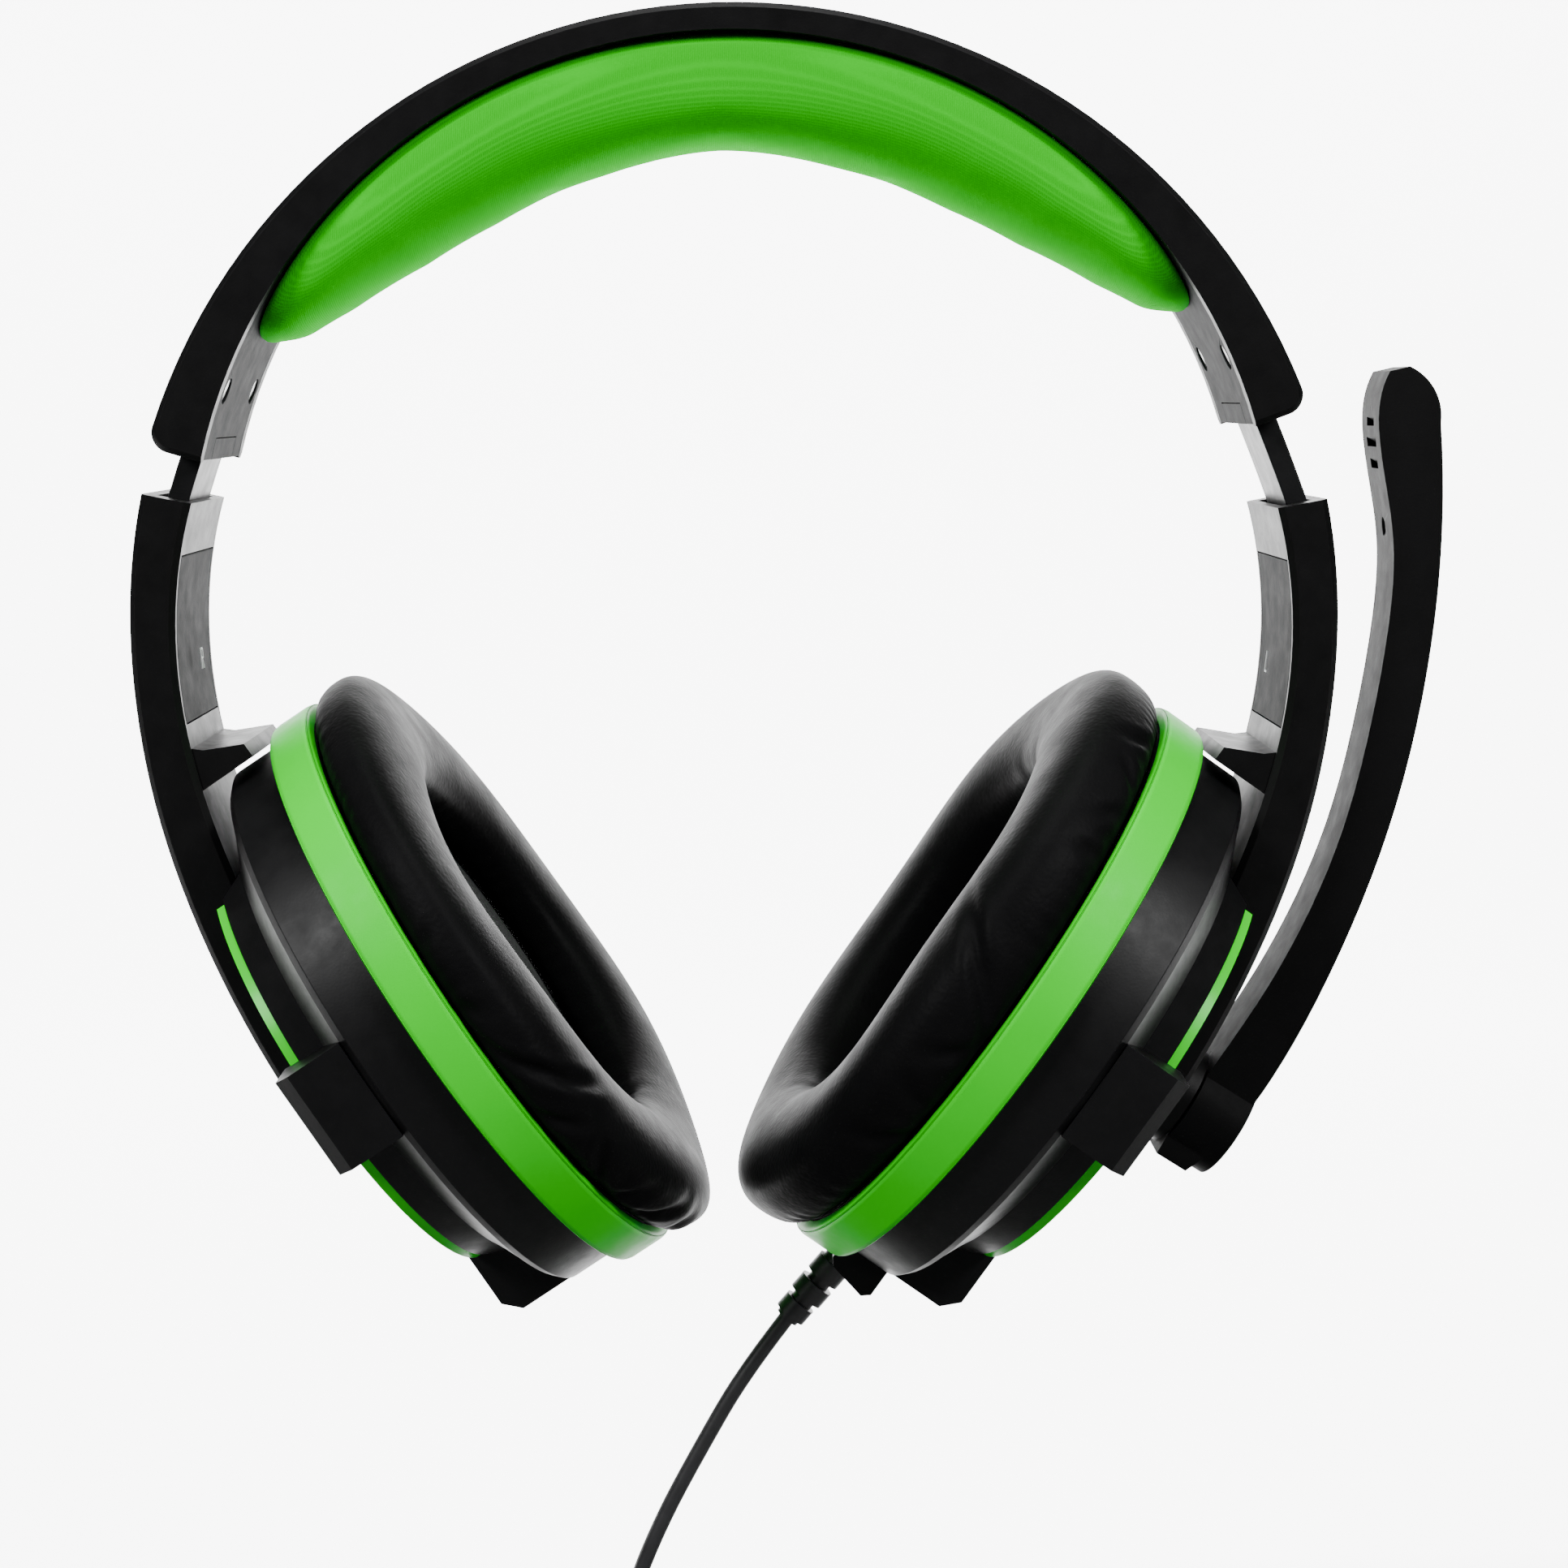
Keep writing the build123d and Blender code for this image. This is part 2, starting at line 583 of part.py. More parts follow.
# ---------------------------------------------------------------- microphone boom
BOOM_OUTER = [
    (36.8, -8.8),
    (39.5, 0.5),
    (40.2, 11.5),
    (38.8, 28.8),
    (34.0, 52.6),
    (26.3, 74.3),
    (16.1, 94.2),
    (6.6, 108.2),
]
BOOM_TIP = (2.2, 112.3)
BOOM_TIP_IN = (-2.0, 112.8)
BOOM_INNER = [
    (-4.2, 110.6),
    (-3.4, 107.0),
    (0.4, 100.9),
    (10.0, 90.0),
    (17.5, 77.0),
    (23.4, 63.0),
    (28.2, 48.3),
    (31.0, 33.0),
    (31.8, 20.0),
    (31.5, 7.0),
    (31.5, -8.8),
]
BOOM_HOLLOW = [
    (37.9, 18.0),
    (34.0, 18.0),
    (33.0, 33.3),
    (30.2, 48.7),
    (25.3, 63.7),
    (19.2, 77.9),
    (11.8, 91.0),
    (2.0, 102.0),
    (-1.5, 107.6),
    (-2.2, 109.6),
    (-1.0, 110.8),
    (1.6, 110.3),
    (5.2, 106.9),
    (14.5, 93.2),
    (24.5, 73.6),
    (32.1, 52.1),
    (36.9, 28.5),
]
BOOM_SHELL = 1.3
SOUND_SLOTS = [(98.4, 2.6), (100.9, 3.4), (103.4, 2.6)]      # how far up the boom, half length
SLOT_HEIGHT = 1.1
MIC_POCKET_R = 2.8
MIC_POCKET_HALF = 3.8
SLOT_MIDDLE = -2.0
INNER_HOLES = [(3.0, 91.0, 1.3, 7.0), (26.0, 42.0, 1.0, 3.4)]     # small holes in the boom's inner side
MIC_SPOT = (6.0, 101.7)          # centre of the capsule


with BuildSketch() as boom_outline:
    with BuildLine():
        outer = Spline(*BOOM_OUTER)
        tip = ThreePointArc(outer @ 1, BOOM_TIP, BOOM_TIP_IN)
        inner = Spline(*BOOM_INNER)
        Line(tip @ 1, inner @ 0)
        Line(inner @ 1, outer @ 0)
    make_face()

BOOM_SHELLS = {"mic_boom_front_shell": 1, "mic_boom_rear_shell": -1}
for label, facing in BOOM_SHELLS.items():
    with BuildPart() as boom_shell:
        with BuildSketch(BOOM_PLANE):
            add(boom_outline.sketch)
        extrude(amount=facing * BOOM_HALF)
        with BuildSketch(axial_plane(BOOM_PLANE, BOOM_BASE_W)):
            Circle(BOOM_BASE_R)
            with Locations((facing * BOOM_BASE_R, 0)):
                Rectangle(2 * BOOM_BASE_R, 2 * BOOM_BASE_R, mode=Mode.INTERSECT)
        extrude(amount=8.7)
        with BuildSketch(BOOM_PLANE):
            Polygon(*BOOM_HOLLOW, align=None)
        extrude(amount=facing * (BOOM_HALF - BOOM_SHELL), mode=Mode.SUBTRACT)
        with BuildSketch(axial_plane(BOOM_PLANE, BOOM_BASE_W - 1)):
            Circle(MIC_PIN_R + 0.05)
        extrude(amount=7.5, mode=Mode.SUBTRACT)
        with BuildSketch(BOOM_PLANE):
            with Locations(MIC_SPOT):
                Circle(MIC_POCKET_R)
        extrude(amount=facing * MIC_POCKET_HALF, mode=Mode.SUBTRACT)
        for along, reach in SOUND_SLOTS:
            with BuildSketch(BOOM_PLANE):
                with Locations((SLOT_MIDDLE, along)):
                    Rectangle(15.0, SLOT_HEIGHT)
            extrude(amount=facing * reach, mode=Mode.SUBTRACT)
        for along, across, radius, depth in INNER_HOLES:
            with BuildSketch(axial_plane(BOOM_PLANE, along, across)):
                Circle(radius)
            extrude(amount=depth, mode=Mode.SUBTRACT)
    finish(boom_shell, label)

with BuildPart() as mic_capsule:
    with BuildSketch(BOOM_PLANE):
        with Locations(MIC_SPOT):
            Circle(2.0)
    extrude(amount=2.0, both=True)
finish(mic_capsule, "mic_capsule")

with BuildPart() as mic_foam:
    with BuildSketch(BOOM_PLANE):
        with Locations(MIC_SPOT):
            Circle(2.7)
            Circle(2.05, mode=Mode.SUBTRACT)
    extrude(amount=3.5, both=True)
finish(mic_foam, "mic_foam")

with BuildPart() as mic_pivot_pin:
    with BuildSketch(axial_plane(BOOM_PLANE, 22.0)):
        Circle(MIC_PIN_R)
    extrude(amount=15.5)
finish(mic_pivot_pin, "mic_pivot_pin")

# ---------------------------------------------------------------- cord
RELIEF_FROM = place(cup, 2.7, -48.0)
RELIEF_TO = place(cup, 1.3, -63.0)
relief_dir = (RELIEF_TO - RELIEF_FROM).normalized()
RELIEF_STEPS = [(2.3, 3.5), (2.85, 3.0), (1.9, 1.2), (2.85, 2.8), (1.9, 1.2), (2.6, 2.6)]
relief_plane = Plane(origin=RELIEF_FROM, x_dir=(0, 1, 0), z_dir=relief_dir)
relief_length = (RELIEF_TO - RELIEF_FROM).length

with BuildPart() as strain_relief:
    reached = 0.0
    for radius, length in RELIEF_STEPS:
        with BuildSketch(relief_plane.offset(reached)):
            Circle(radius)
        extrude(amount=length)
        reached = reached + length
    with BuildSketch(relief_plane.offset(reached)):
        Circle(1.9)
    extrude(amount=relief_length - reached)
finish(strain_relief, "strain_relief")

CABLE_BOSS = [(0.5, -44.0), (0.5, -49.6), (1.4, -50.8), (7.6, -52.2), (8.9, -51.2), (8.9, -44.0)]
with BuildPart() as cable_boss:
    with BuildSketch(cup):
        Polygon(*CABLE_BOSS, align=None)
    extrude(amount=6.0, both=True)
    with BuildSketch(axial_plane(cup, 0.0)):
        Circle(CUP_R + 0.02)
    extrude(amount=CUP_W, mode=Mode.SUBTRACT)
    with BuildSketch(relief_plane.offset(-3)):
        Circle(2.35)
    extrude(amount=12, mode=Mode.SUBTRACT)
finish(cable_boss, "cable_boss")

# The cord's middle line, in x, y, z. It leaves the strain relief and drops to the put-away coil.
CORD_LEAD = [
    (-3.0, 0.0, -191.0),
    (-10.0, 0.0, -202.5),
    (-16.6, 0.0, -214.0),
    (-21.8, 0.3, -225.6),
    (-25.4, 0.8, -238.0),
    (-26.8, 1.0, -249.0),
]
COIL_CENTRE = (-11.8, 0.0, -251.0)
CORD_TAIL = [
    (-26.8, -1.0, -253.0),
    (-27.2, -1.6, -262.5),
    (-28.6, -2.0, -271.5),
    (-28.6, -2.0, -279.0),
]


def tube_path(points):
    """Straight runs joined by arcs as large as the runs allow, and the arcs' radii."""
    vectors = [Vector(*p) for p in points]
    radii = []
    for before, corner, after in zip(vectors, vectors[1:], vectors[2:]):
        run_in = corner - before
        run_out = after - corner
        turn = radians(run_in.get_angle(run_out))
        radii.append(0.45 * min(run_in.length, run_out.length) / tan(turn / 2))
    return radii


lead_points = [tuple(RELIEF_TO)] + CORD_LEAD
lead_radii = tube_path(lead_points)
tail_radii = tube_path(CORD_TAIL)
print("cord lead bend radii", [round(r, 1) for r in lead_radii])
print("cord tail bend radii", [round(r, 1) for r in tail_radii])

with BuildPart() as cord_lead:
    with BuildLine() as lead_line:
        FilletPolyline(*lead_points, radius=lead_radii)
    with BuildSketch(Plane(origin=lead_line.line @ 0, z_dir=lead_line.line % 0)):
        Circle(CORD_R)
    sweep()
finish(cord_lead, "cord_lead")

with BuildPart() as cord_tail:
    with BuildLine() as tail_line:
        FilletPolyline(*CORD_TAIL, radius=tail_radii)
    with BuildSketch(Plane(origin=tail_line.line @ 0, z_dir=tail_line.line % 0)):
        Circle(CORD_R)
    sweep()
finish(cord_tail, "cord_tail")

for made, line in ((cord_lead, lead_line), (cord_tail, tail_line)):
    expected = pi * CORD_R**2 * sum(edge.length for edge in line.edges())
    print("tube volume over section times length", round(made.part.volume / expected, 4))

with BuildPart() as cord_coil:
    with BuildSketch(Plane(origin=COIL_CENTRE)):
        with Locations((COIL_MID_R, 0)):
            Circle(COIL_SECTION_R)
    revolve(axis=Axis(COIL_CENTRE, (0, 1, 0)))
finish(cord_coil, "cord_coil")

TIE_ARC = 32.0
TIE_THICK = 1.2
tie_start = radians(90 - TIE_ARC / 2)
tie_plane = Plane(
    origin=COIL_CENTRE,
    x_dir=(cos(tie_start), 0, sin(tie_start)),
    z_dir=(-sin(tie_start), 0, cos(tie_start)),
)
with BuildPart() as cord_tie:
    with BuildSketch(tie_plane):
        with Locations((COIL_MID_R, 0)):
            Circle(COIL_SECTION_R + 0.1 + TIE_THICK)
            Circle(COIL_SECTION_R + 0.1, mode=Mode.SUBTRACT)
    revolve(axis=Axis(COIL_CENTRE, (0, -1, 0)), revolution_arc=TIE_ARC)
finish(cord_tie, "cord_tie")

PLUG_BODY_R = 3.3
PLUG_TOP = Vector(CORD_TAIL[-1])
PLUG_STEPS = [(1.9, 3.0), (2.4, 3.0), (PLUG_BODY_R, 14.0), (2.6, 1.4)]
PLUG_PIN = 11.2
PLUG_TIP = 2.8
down = Plane(origin=PLUG_TOP, x_dir=(1, 0, 0), z_dir=(0, 0, -1))
with BuildPart() as plug_body:
    reached = 0.0
    for radius, length in PLUG_STEPS:
        with BuildSketch(down.offset(reached)):
            Circle(radius)
        extrude(amount=length)
        reached = reached + length
    body_edges = plug_body.edges().filter_by(GeomType.CIRCLE).filter_by(lambda e: e.radius == PLUG_BODY_R)
    fillet(body_edges, 0.5)
finish(plug_body, "plug_body")

pin_plane = down.offset(reached)
with BuildPart() as plug_pin:
    with BuildSketch(pin_plane):
        Circle(PLUG_R)
    extrude(amount=PLUG_PIN)
    with BuildSketch(pin_plane.offset(PLUG_PIN)):
        Circle(1.2)
    with BuildSketch(pin_plane.offset(PLUG_PIN + 0.9)):
        Circle(1.65)
    with BuildSketch(pin_plane.offset(PLUG_PIN + PLUG_TIP)):
        Circle(0.6)
    loft(ruled=True)
finish(plug_pin, "plug_pin")
print("plug pin runs from", round(pin_plane.origin.Z, 2), "to", round(pin_plane.origin.Z - PLUG_PIN, 2))
for side in (RIGHT, LEFT):
    name = SIDE_NAMES[side]
    print(name, "strip centre", STRIP_PLANES[side].origin, "tilt pivot", PIVOTS[side], "cup", CUP_PLANES[side].origin)
print("microphone pivot", place(BOOM_PLANE, BOOM_BASE_W, 0), "axis", BOOM_PLANE.x_dir)
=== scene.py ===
from math import cos, exp, pi, radians, sin, sqrt

import bmesh
import bpy
import numpy as np
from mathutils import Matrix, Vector


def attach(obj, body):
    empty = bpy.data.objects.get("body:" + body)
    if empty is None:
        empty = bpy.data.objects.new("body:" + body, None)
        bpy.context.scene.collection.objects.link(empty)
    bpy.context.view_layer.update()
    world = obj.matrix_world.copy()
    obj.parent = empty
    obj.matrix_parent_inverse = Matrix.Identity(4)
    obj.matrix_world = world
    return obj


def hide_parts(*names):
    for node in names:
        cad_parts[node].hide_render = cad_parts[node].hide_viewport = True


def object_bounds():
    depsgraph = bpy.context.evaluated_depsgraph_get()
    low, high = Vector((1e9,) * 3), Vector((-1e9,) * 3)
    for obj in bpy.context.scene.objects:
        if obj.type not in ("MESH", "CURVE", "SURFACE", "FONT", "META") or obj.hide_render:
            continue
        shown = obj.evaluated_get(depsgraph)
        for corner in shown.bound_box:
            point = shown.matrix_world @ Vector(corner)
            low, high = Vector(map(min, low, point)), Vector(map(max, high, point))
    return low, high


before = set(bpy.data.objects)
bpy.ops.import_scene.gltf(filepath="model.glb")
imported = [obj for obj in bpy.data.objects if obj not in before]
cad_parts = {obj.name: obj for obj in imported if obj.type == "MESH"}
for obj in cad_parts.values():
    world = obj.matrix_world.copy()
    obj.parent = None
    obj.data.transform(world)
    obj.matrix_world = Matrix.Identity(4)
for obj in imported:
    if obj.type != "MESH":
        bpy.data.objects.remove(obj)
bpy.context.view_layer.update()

MM = 0.001
SIDES = {"right": -1, "left": 1}     # the wearer's sides, towards -X and +X
ARC_CENTRE = Vector((0, 0, -70)) * MM
SLIDE_OUT = {"right": 4.5, "left": 8.9}     # how far each arm is drawn out at rest, degrees of arc


# ---------------------------------------------------------------- camera
LENS_MM = 71.36
SENSOR_MM = 36.0
NEAREST_SEEN = 0.01
CAMERA_PLACE = (0.00345, -0.4763, -0.03784)
CAMERA_TURN = (1.4461, 0.0339, -0.0106)


def add_camera():
    """The camera in front of the headset, above the cups, looking a little down."""
    data = bpy.data.cameras.new("camera")
    data.lens = LENS_MM
    data.sensor_width = SENSOR_MM
    data.clip_start = NEAREST_SEEN
    camera = bpy.data.objects.new("camera", data)
    camera.location = CAMERA_PLACE
    camera.rotation_euler = CAMERA_TURN
    bpy.context.scene.collection.objects.link(camera)
    bpy.context.scene.camera = camera


add_camera()


# ---------------------------------------------------------------- places from the frame
def points_of(node):
    """A CAD node's vertices as rows of x, y, z."""
    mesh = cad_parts[node].data
    values = np.zeros(len(mesh.vertices) * 3)
    mesh.vertices.foreach_get("co", values)
    return values.reshape(-1, 3)


class Cup:
    """A cup's own directions: w outward along its axis from the ring's outer face, up, and front."""

    def __init__(self, name):
        side = SIDES[name]
        points = points_of(f"{name}_trim_ring")
        middle = (points.max(0) + points.min(0)) / 2
        axis = np.linalg.svd(points - points.mean(0))[2][2]
        if axis[0] * side < 0:
            axis = -axis
        self.outward = Vector(axis).normalized()
        self.front = Vector((0, -1, 0))
        self.up = Vector((-self.outward.z * side, 0, self.outward.x * side))
        if self.up.z < 0:
            self.up = -self.up
        reach = max((Vector(p) - Vector(middle)).dot(self.outward) for p in points)
        self.centre = Vector(middle) + self.outward * reach

    def at(self, w, r, angle):
        """The point at that depth, radius and angle, measured from up towards the front."""
        return self.centre + self.outward * w + self.up * (r * cos(angle)) + self.front * (r * sin(angle))


cups = {name: Cup(name) for name in SIDES}


# ---------------------------------------------------------------- mesh helpers
def mesh_object(name, points, faces, smooth=True):
    """A new object in the scene, from its points and faces."""
    mesh = bpy.data.meshes.new(name)
    mesh.from_pydata([tuple(p) for p in points], [], faces)
    mesh.update()
    if smooth:
        mesh.shade_smooth()
    piece = bpy.data.objects.new(name, mesh)
    bpy.context.scene.collection.objects.link(piece)
    return piece


def grid_faces(rows, columns, rows_closed, columns_closed):
    """Quads over a grid of points kept row by row."""
    faces = []
    for i in range(rows if rows_closed else rows - 1):
        for j in range(columns if columns_closed else columns - 1):
            k = (i + 1) % rows
            m = (j + 1) % columns
            faces.append((i * columns + j, i * columns + m, k * columns + m, k * columns + j))
    return faces


def outward_faces(piece):
    """Turns the faces of a closed piece outwards."""
    mesh = bmesh.new()
    mesh.from_mesh(piece.data)
    bmesh.ops.recalc_face_normals(mesh, faces=mesh.faces)
    mesh.to_mesh(piece.data)
    mesh.free()
    piece.data.update()


def vertex_array(piece):
    """A piece's vertices as rows of x, y, z."""
    values = np.zeros(len(piece.data.vertices) * 3)
    piece.data.vertices.foreach_get("co", values)
    return values.reshape(-1, 3)


def set_vertices(piece, points):
    """Moves a piece's vertices to rows of x, y, z."""
    piece.data.vertices.foreach_set("co", points.astype(np.float32).ravel())
    piece.data.update()


def bake(piece):
    """Applies the piece's modifiers as they stand now."""
    evaluated = piece.evaluated_get(bpy.context.evaluated_depsgraph_get())
    mesh = bpy.data.meshes.new_from_object(evaluated)
    piece.modifiers.clear()
    old = piece.data
    piece.data = mesh
    bpy.data.meshes.remove(old)
    piece.data.shade_smooth()


CLOTH_FRAMES = 20
CLOTH_QUALITY = 5
CLOTH_MASS = 0.3
CLOTH_STRETCH = 12.0
CLOTH_SHEAR = 4.0
CLOTH_BENDING = 1.0


def inflate(piece, pinned, most, pressure=4.0):
    """Runs a cloth simulation with pressure on a closed soft piece. No point moves further than most.

    Pinned points stay.
    """
    start = vertex_array(piece)
    group = piece.vertex_groups.new(name="held")
    for index, weight in enumerate(pinned):
        if weight > 0:
            group.add([index], float(weight), "REPLACE")
    cloth = piece.modifiers.new("cloth", "CLOTH")
    settings = cloth.settings
    settings.quality = CLOTH_QUALITY
    settings.mass = CLOTH_MASS
    settings.tension_stiffness = CLOTH_STRETCH
    settings.compression_stiffness = CLOTH_STRETCH
    settings.shear_stiffness = CLOTH_SHEAR
    settings.bending_stiffness = CLOTH_BENDING
    settings.use_pressure = True
    settings.uniform_pressure_force = pressure
    settings.vertex_group_mass = "held"
    settings.effector_weights.gravity = 0.0
    cloth.collision_settings.use_collision = False
    cloth.point_cache.frame_start = 1
    cloth.point_cache.frame_end = CLOTH_FRAMES
    for step in range(1, CLOTH_FRAMES + 1):
        bpy.context.scene.frame_set(step)
    bake(piece)
    bpy.context.scene.frame_set(1)
    moved = vertex_array(piece) - start
    far = np.linalg.norm(moved, axis=1, keepdims=True)
    soft = most * np.tanh(far / most) / np.maximum(far, 1e-9)
    set_vertices(piece, start + moved * np.where(np.isfinite(soft), soft, 0.0))


def signed_power(value, power):
    """The value's size raised to a power, with its sign kept."""
    return abs(value) ** power * (1 if value > 0 else -1)


def subdivide(piece, levels):
    """Smooths a piece by subdivision, and keeps the result."""
    modifier = piece.modifiers.new("subdivision", "SUBSURF")
    modifier.levels = levels
    modifier.render_levels = levels
    bake(piece)


def ride_on(piece, body, material):
    """Gives a piece its one material and its body."""
    piece.data.materials.clear()
    piece.data.materials.append(material)
    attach(piece, body)


# ---------------------------------------------------------------- material helpers
def shader(name, colour, roughness, metallic=0.0, specular=0.5):
    """A new material with its node tree and its Principled node."""
    material = bpy.data.materials.new(name)
    material.use_nodes = True
    tree = material.node_tree
    bsdf = tree.nodes["Principled BSDF"]
    bsdf.inputs["Base Color"].default_value = (*colour, 1)
    bsdf.inputs["Roughness"].default_value = roughness
    bsdf.inputs["Metallic"].default_value = metallic
    bsdf.inputs["Specular IOR Level"].default_value = specular
    return material, tree, bsdf


def place_node(tree):
    """Object coordinates, in metres."""
    for node in tree.nodes:
        if node.type == "TEX_COORD":
            return node.outputs["Object"]
    return tree.nodes.new("ShaderNodeTexCoord").outputs["Object"]


def noise(tree, scale, detail=3.0, rough=0.5, stretch=None):
    """Cloudy noise in object coordinates, drawn out along an axis by stretch."""
    node = tree.nodes.new("ShaderNodeTexNoise")
    node.inputs["Scale"].default_value = scale
    node.inputs["Detail"].default_value = detail
    node.inputs["Roughness"].default_value = rough
    source = place_node(tree)
    if stretch:
        mapping = tree.nodes.new("ShaderNodeMapping")
        mapping.inputs["Scale"].default_value = stretch
        tree.links.new(source, mapping.inputs["Vector"])
        source = mapping.outputs["Vector"]
    tree.links.new(source, node.inputs["Vector"])
    return node.outputs["Fac"]


def cells(tree, scale, feature="F1"):
    """Distance to the nearest of many scattered points, for pores and pebbles."""
    node = tree.nodes.new("ShaderNodeTexVoronoi")
    node.feature = feature
    node.inputs["Scale"].default_value = scale
    tree.links.new(place_node(tree), node.inputs["Vector"])
    return node.outputs["Distance"]


def spread(tree, source, low, high, new_low, new_high):
    """The source's values from low to high, mapped to a new range."""
    node = tree.nodes.new("ShaderNodeMapRange")
    node.inputs["From Min"].default_value = low
    node.inputs["From Max"].default_value = high
    node.inputs["To Min"].default_value = new_low
    node.inputs["To Max"].default_value = new_high
    tree.links.new(source, node.inputs["Value"])
    return node.outputs["Result"]


def mixed(tree, factor, first, second):
    """A colour between two, by a factor from nodes."""
    node = tree.nodes.new("ShaderNodeMix")
    node.data_type = "RGBA"
    tree.links.new(factor, node.inputs["Factor"])
    for socket, value in ((node.inputs[6], first), (node.inputs[7], second)):
        if isinstance(value, tuple):
            socket.default_value = (*value, 1)
        else:
            tree.links.new(value, socket)
    return node.outputs[2]


def math_node(tree, operation, *sources):
    """The result of a math node on one or two sources."""
    node = tree.nodes.new("ShaderNodeMath")
    node.operation = operation
    for index, source in enumerate(sources):
        tree.links.new(source, node.inputs[index])
    return node.outputs["Value"]


def bump(tree, bsdf, height, distance, strength=1.0, under=None):
    """Raises the surface by a height, in metres, on top of the bump that is given as under."""
    node = tree.nodes.new("ShaderNodeBump")
    node.inputs["Distance"].default_value = distance
    node.inputs["Strength"].default_value = strength
    tree.links.new(height, node.inputs["Height"])
    if under:
        tree.links.new(under, node.inputs["Normal"])
    tree.links.new(node.outputs["Normal"], bsdf.inputs["Normal"])
    return node.outputs["Normal"]


def moulded_plastic(name, colour, worn, roughness, grain, depth, specular=0.14):
    """Moulded plastic: fine spark texture, faint handling marks and uneven gloss."""
    material, tree, bsdf = shader(name, colour, roughness, specular=specular)
    marks = spread(tree, noise(tree, 90, 6, 0.65), 0.35, 0.75, 0, 1)
    tree.links.new(mixed(tree, marks, colour, worn), bsdf.inputs["Base Color"])
    gloss = spread(tree, noise(tree, 260, 5, 0.6), 0.3, 0.7, roughness - 0.05, roughness + 0.06)
    tree.links.new(gloss, bsdf.inputs["Roughness"])
    fine = bump(tree, bsdf, noise(tree, grain, 2, 0.6), depth, 0.5)
    bump(tree, bsdf, noise(tree, 35, 2, 0.4), 0.00012, 0.3, under=fine)
    return material


def green_plastic(name, colour, deep, roughness, coat):
    """Plastic in a plain green with a slight orange-peel surface, and a clear coat where coat is above 0."""
    material, tree, bsdf = shader(name, colour, roughness, specular=0.12)
    tone = spread(tree, noise(tree, 40, 3, 0.5), 0.3, 0.7, 0, 1)
    tree.links.new(mixed(tree, tone, colour, deep), bsdf.inputs["Base Color"])
    bsdf.inputs["Coat Weight"].default_value = coat
    bsdf.inputs["Coat Roughness"].default_value = 0.18
    gloss = spread(tree, noise(tree, 300, 4, 0.6), 0.3, 0.7, roughness - 0.04, roughness + 0.06)
    tree.links.new(gloss, bsdf.inputs["Roughness"])
    bump(tree, bsdf, noise(tree, 700, 2, 0.5), 0.00003, 0.4)
    return material


def woven_green(name):
    """Woven polyester: two crossing ribs of thread with a soft nap."""
    material, tree, bsdf = shader(name, (0.0, 0.5, 0.0), 0.95, specular=0.03)
    ribs = []
    for direction in ("X", "Y"):
        wave = tree.nodes.new("ShaderNodeTexWave")
        wave.bands_direction = direction
        wave.inputs["Scale"].default_value = 1150
        wave.inputs["Distortion"].default_value = 0.6
        wave.inputs["Detail"].default_value = 1.0
        tree.links.new(place_node(tree), wave.inputs["Vector"])
        ribs.append(wave.outputs["Fac"])
    weave = spread(tree, math_node(tree, "MAXIMUM", *ribs), 0.2, 1.0, 0, 1)
    threads = mixed(tree, weave, (0.0, 0.40, 0.0), (0.0, 0.58, 0.0))
    tone = spread(tree, noise(tree, 30, 4, 0.6), 0.3, 0.7, 0, 0.5)
    tree.links.new(mixed(tree, tone, threads, (0.0, 0.48, 0.0)), bsdf.inputs["Base Color"])
    bsdf.inputs["Sheen Weight"].default_value = 0.03
    bsdf.inputs["Sheen Roughness"].default_value = 0.45
    bsdf.inputs["Sheen Tint"].default_value = (0.25, 1.0, 0.2, 1)
    threads_up = bump(tree, bsdf, weave, 0.00005, 0.4)
    bump(tree, bsdf, noise(tree, 2600, 3, 0.7), 0.00003, 0.3, under=threads_up)
    return material


def black_leather(name):
    """Soft artificial leather: pebbled grain, fine pores and a low, uneven sheen."""
    material, tree, bsdf = shader(name, (0.003, 0.003, 0.0032), 0.5, specular=0.02)
    tone = spread(tree, noise(tree, 60, 5, 0.6), 0.3, 0.7, 0, 1)
    leather = mixed(tree, tone, (0.0024, 0.0024, 0.0026), (0.0042, 0.0042, 0.0044))
    tree.links.new(leather, bsdf.inputs["Base Color"])
    gloss = spread(tree, noise(tree, 180, 5, 0.6), 0.3, 0.7, 0.44, 0.55)
    tree.links.new(gloss, bsdf.inputs["Roughness"])
    bsdf.inputs["Sheen Weight"].default_value = 0.004
    pebbles = bump(tree, bsdf, cells(tree, 1500, "SMOOTH_F1"), 0.00009, 0.5)
    pores = bump(tree, bsdf, noise(tree, 3800, 3, 0.7), 0.00003, 0.4, under=pebbles)
    bump(tree, bsdf, noise(tree, 120, 4, 0.5), 0.00025, 0.35, under=pores)
    return material


def speaker_weave(name):
    """Thin acoustic cloth with a fine open mesh."""
    material, tree, bsdf = shader(name, (0.012, 0.012, 0.013), 0.9)
    holes = spread(tree, cells(tree, 1100), 0.1, 0.5, 0, 1)
    tree.links.new(mixed(tree, holes, (0.002, 0.002, 0.002), (0.02, 0.02, 0.021)), bsdf.inputs["Base Color"])
    bump(tree, bsdf, holes, 0.00015, 0.7)
    return material


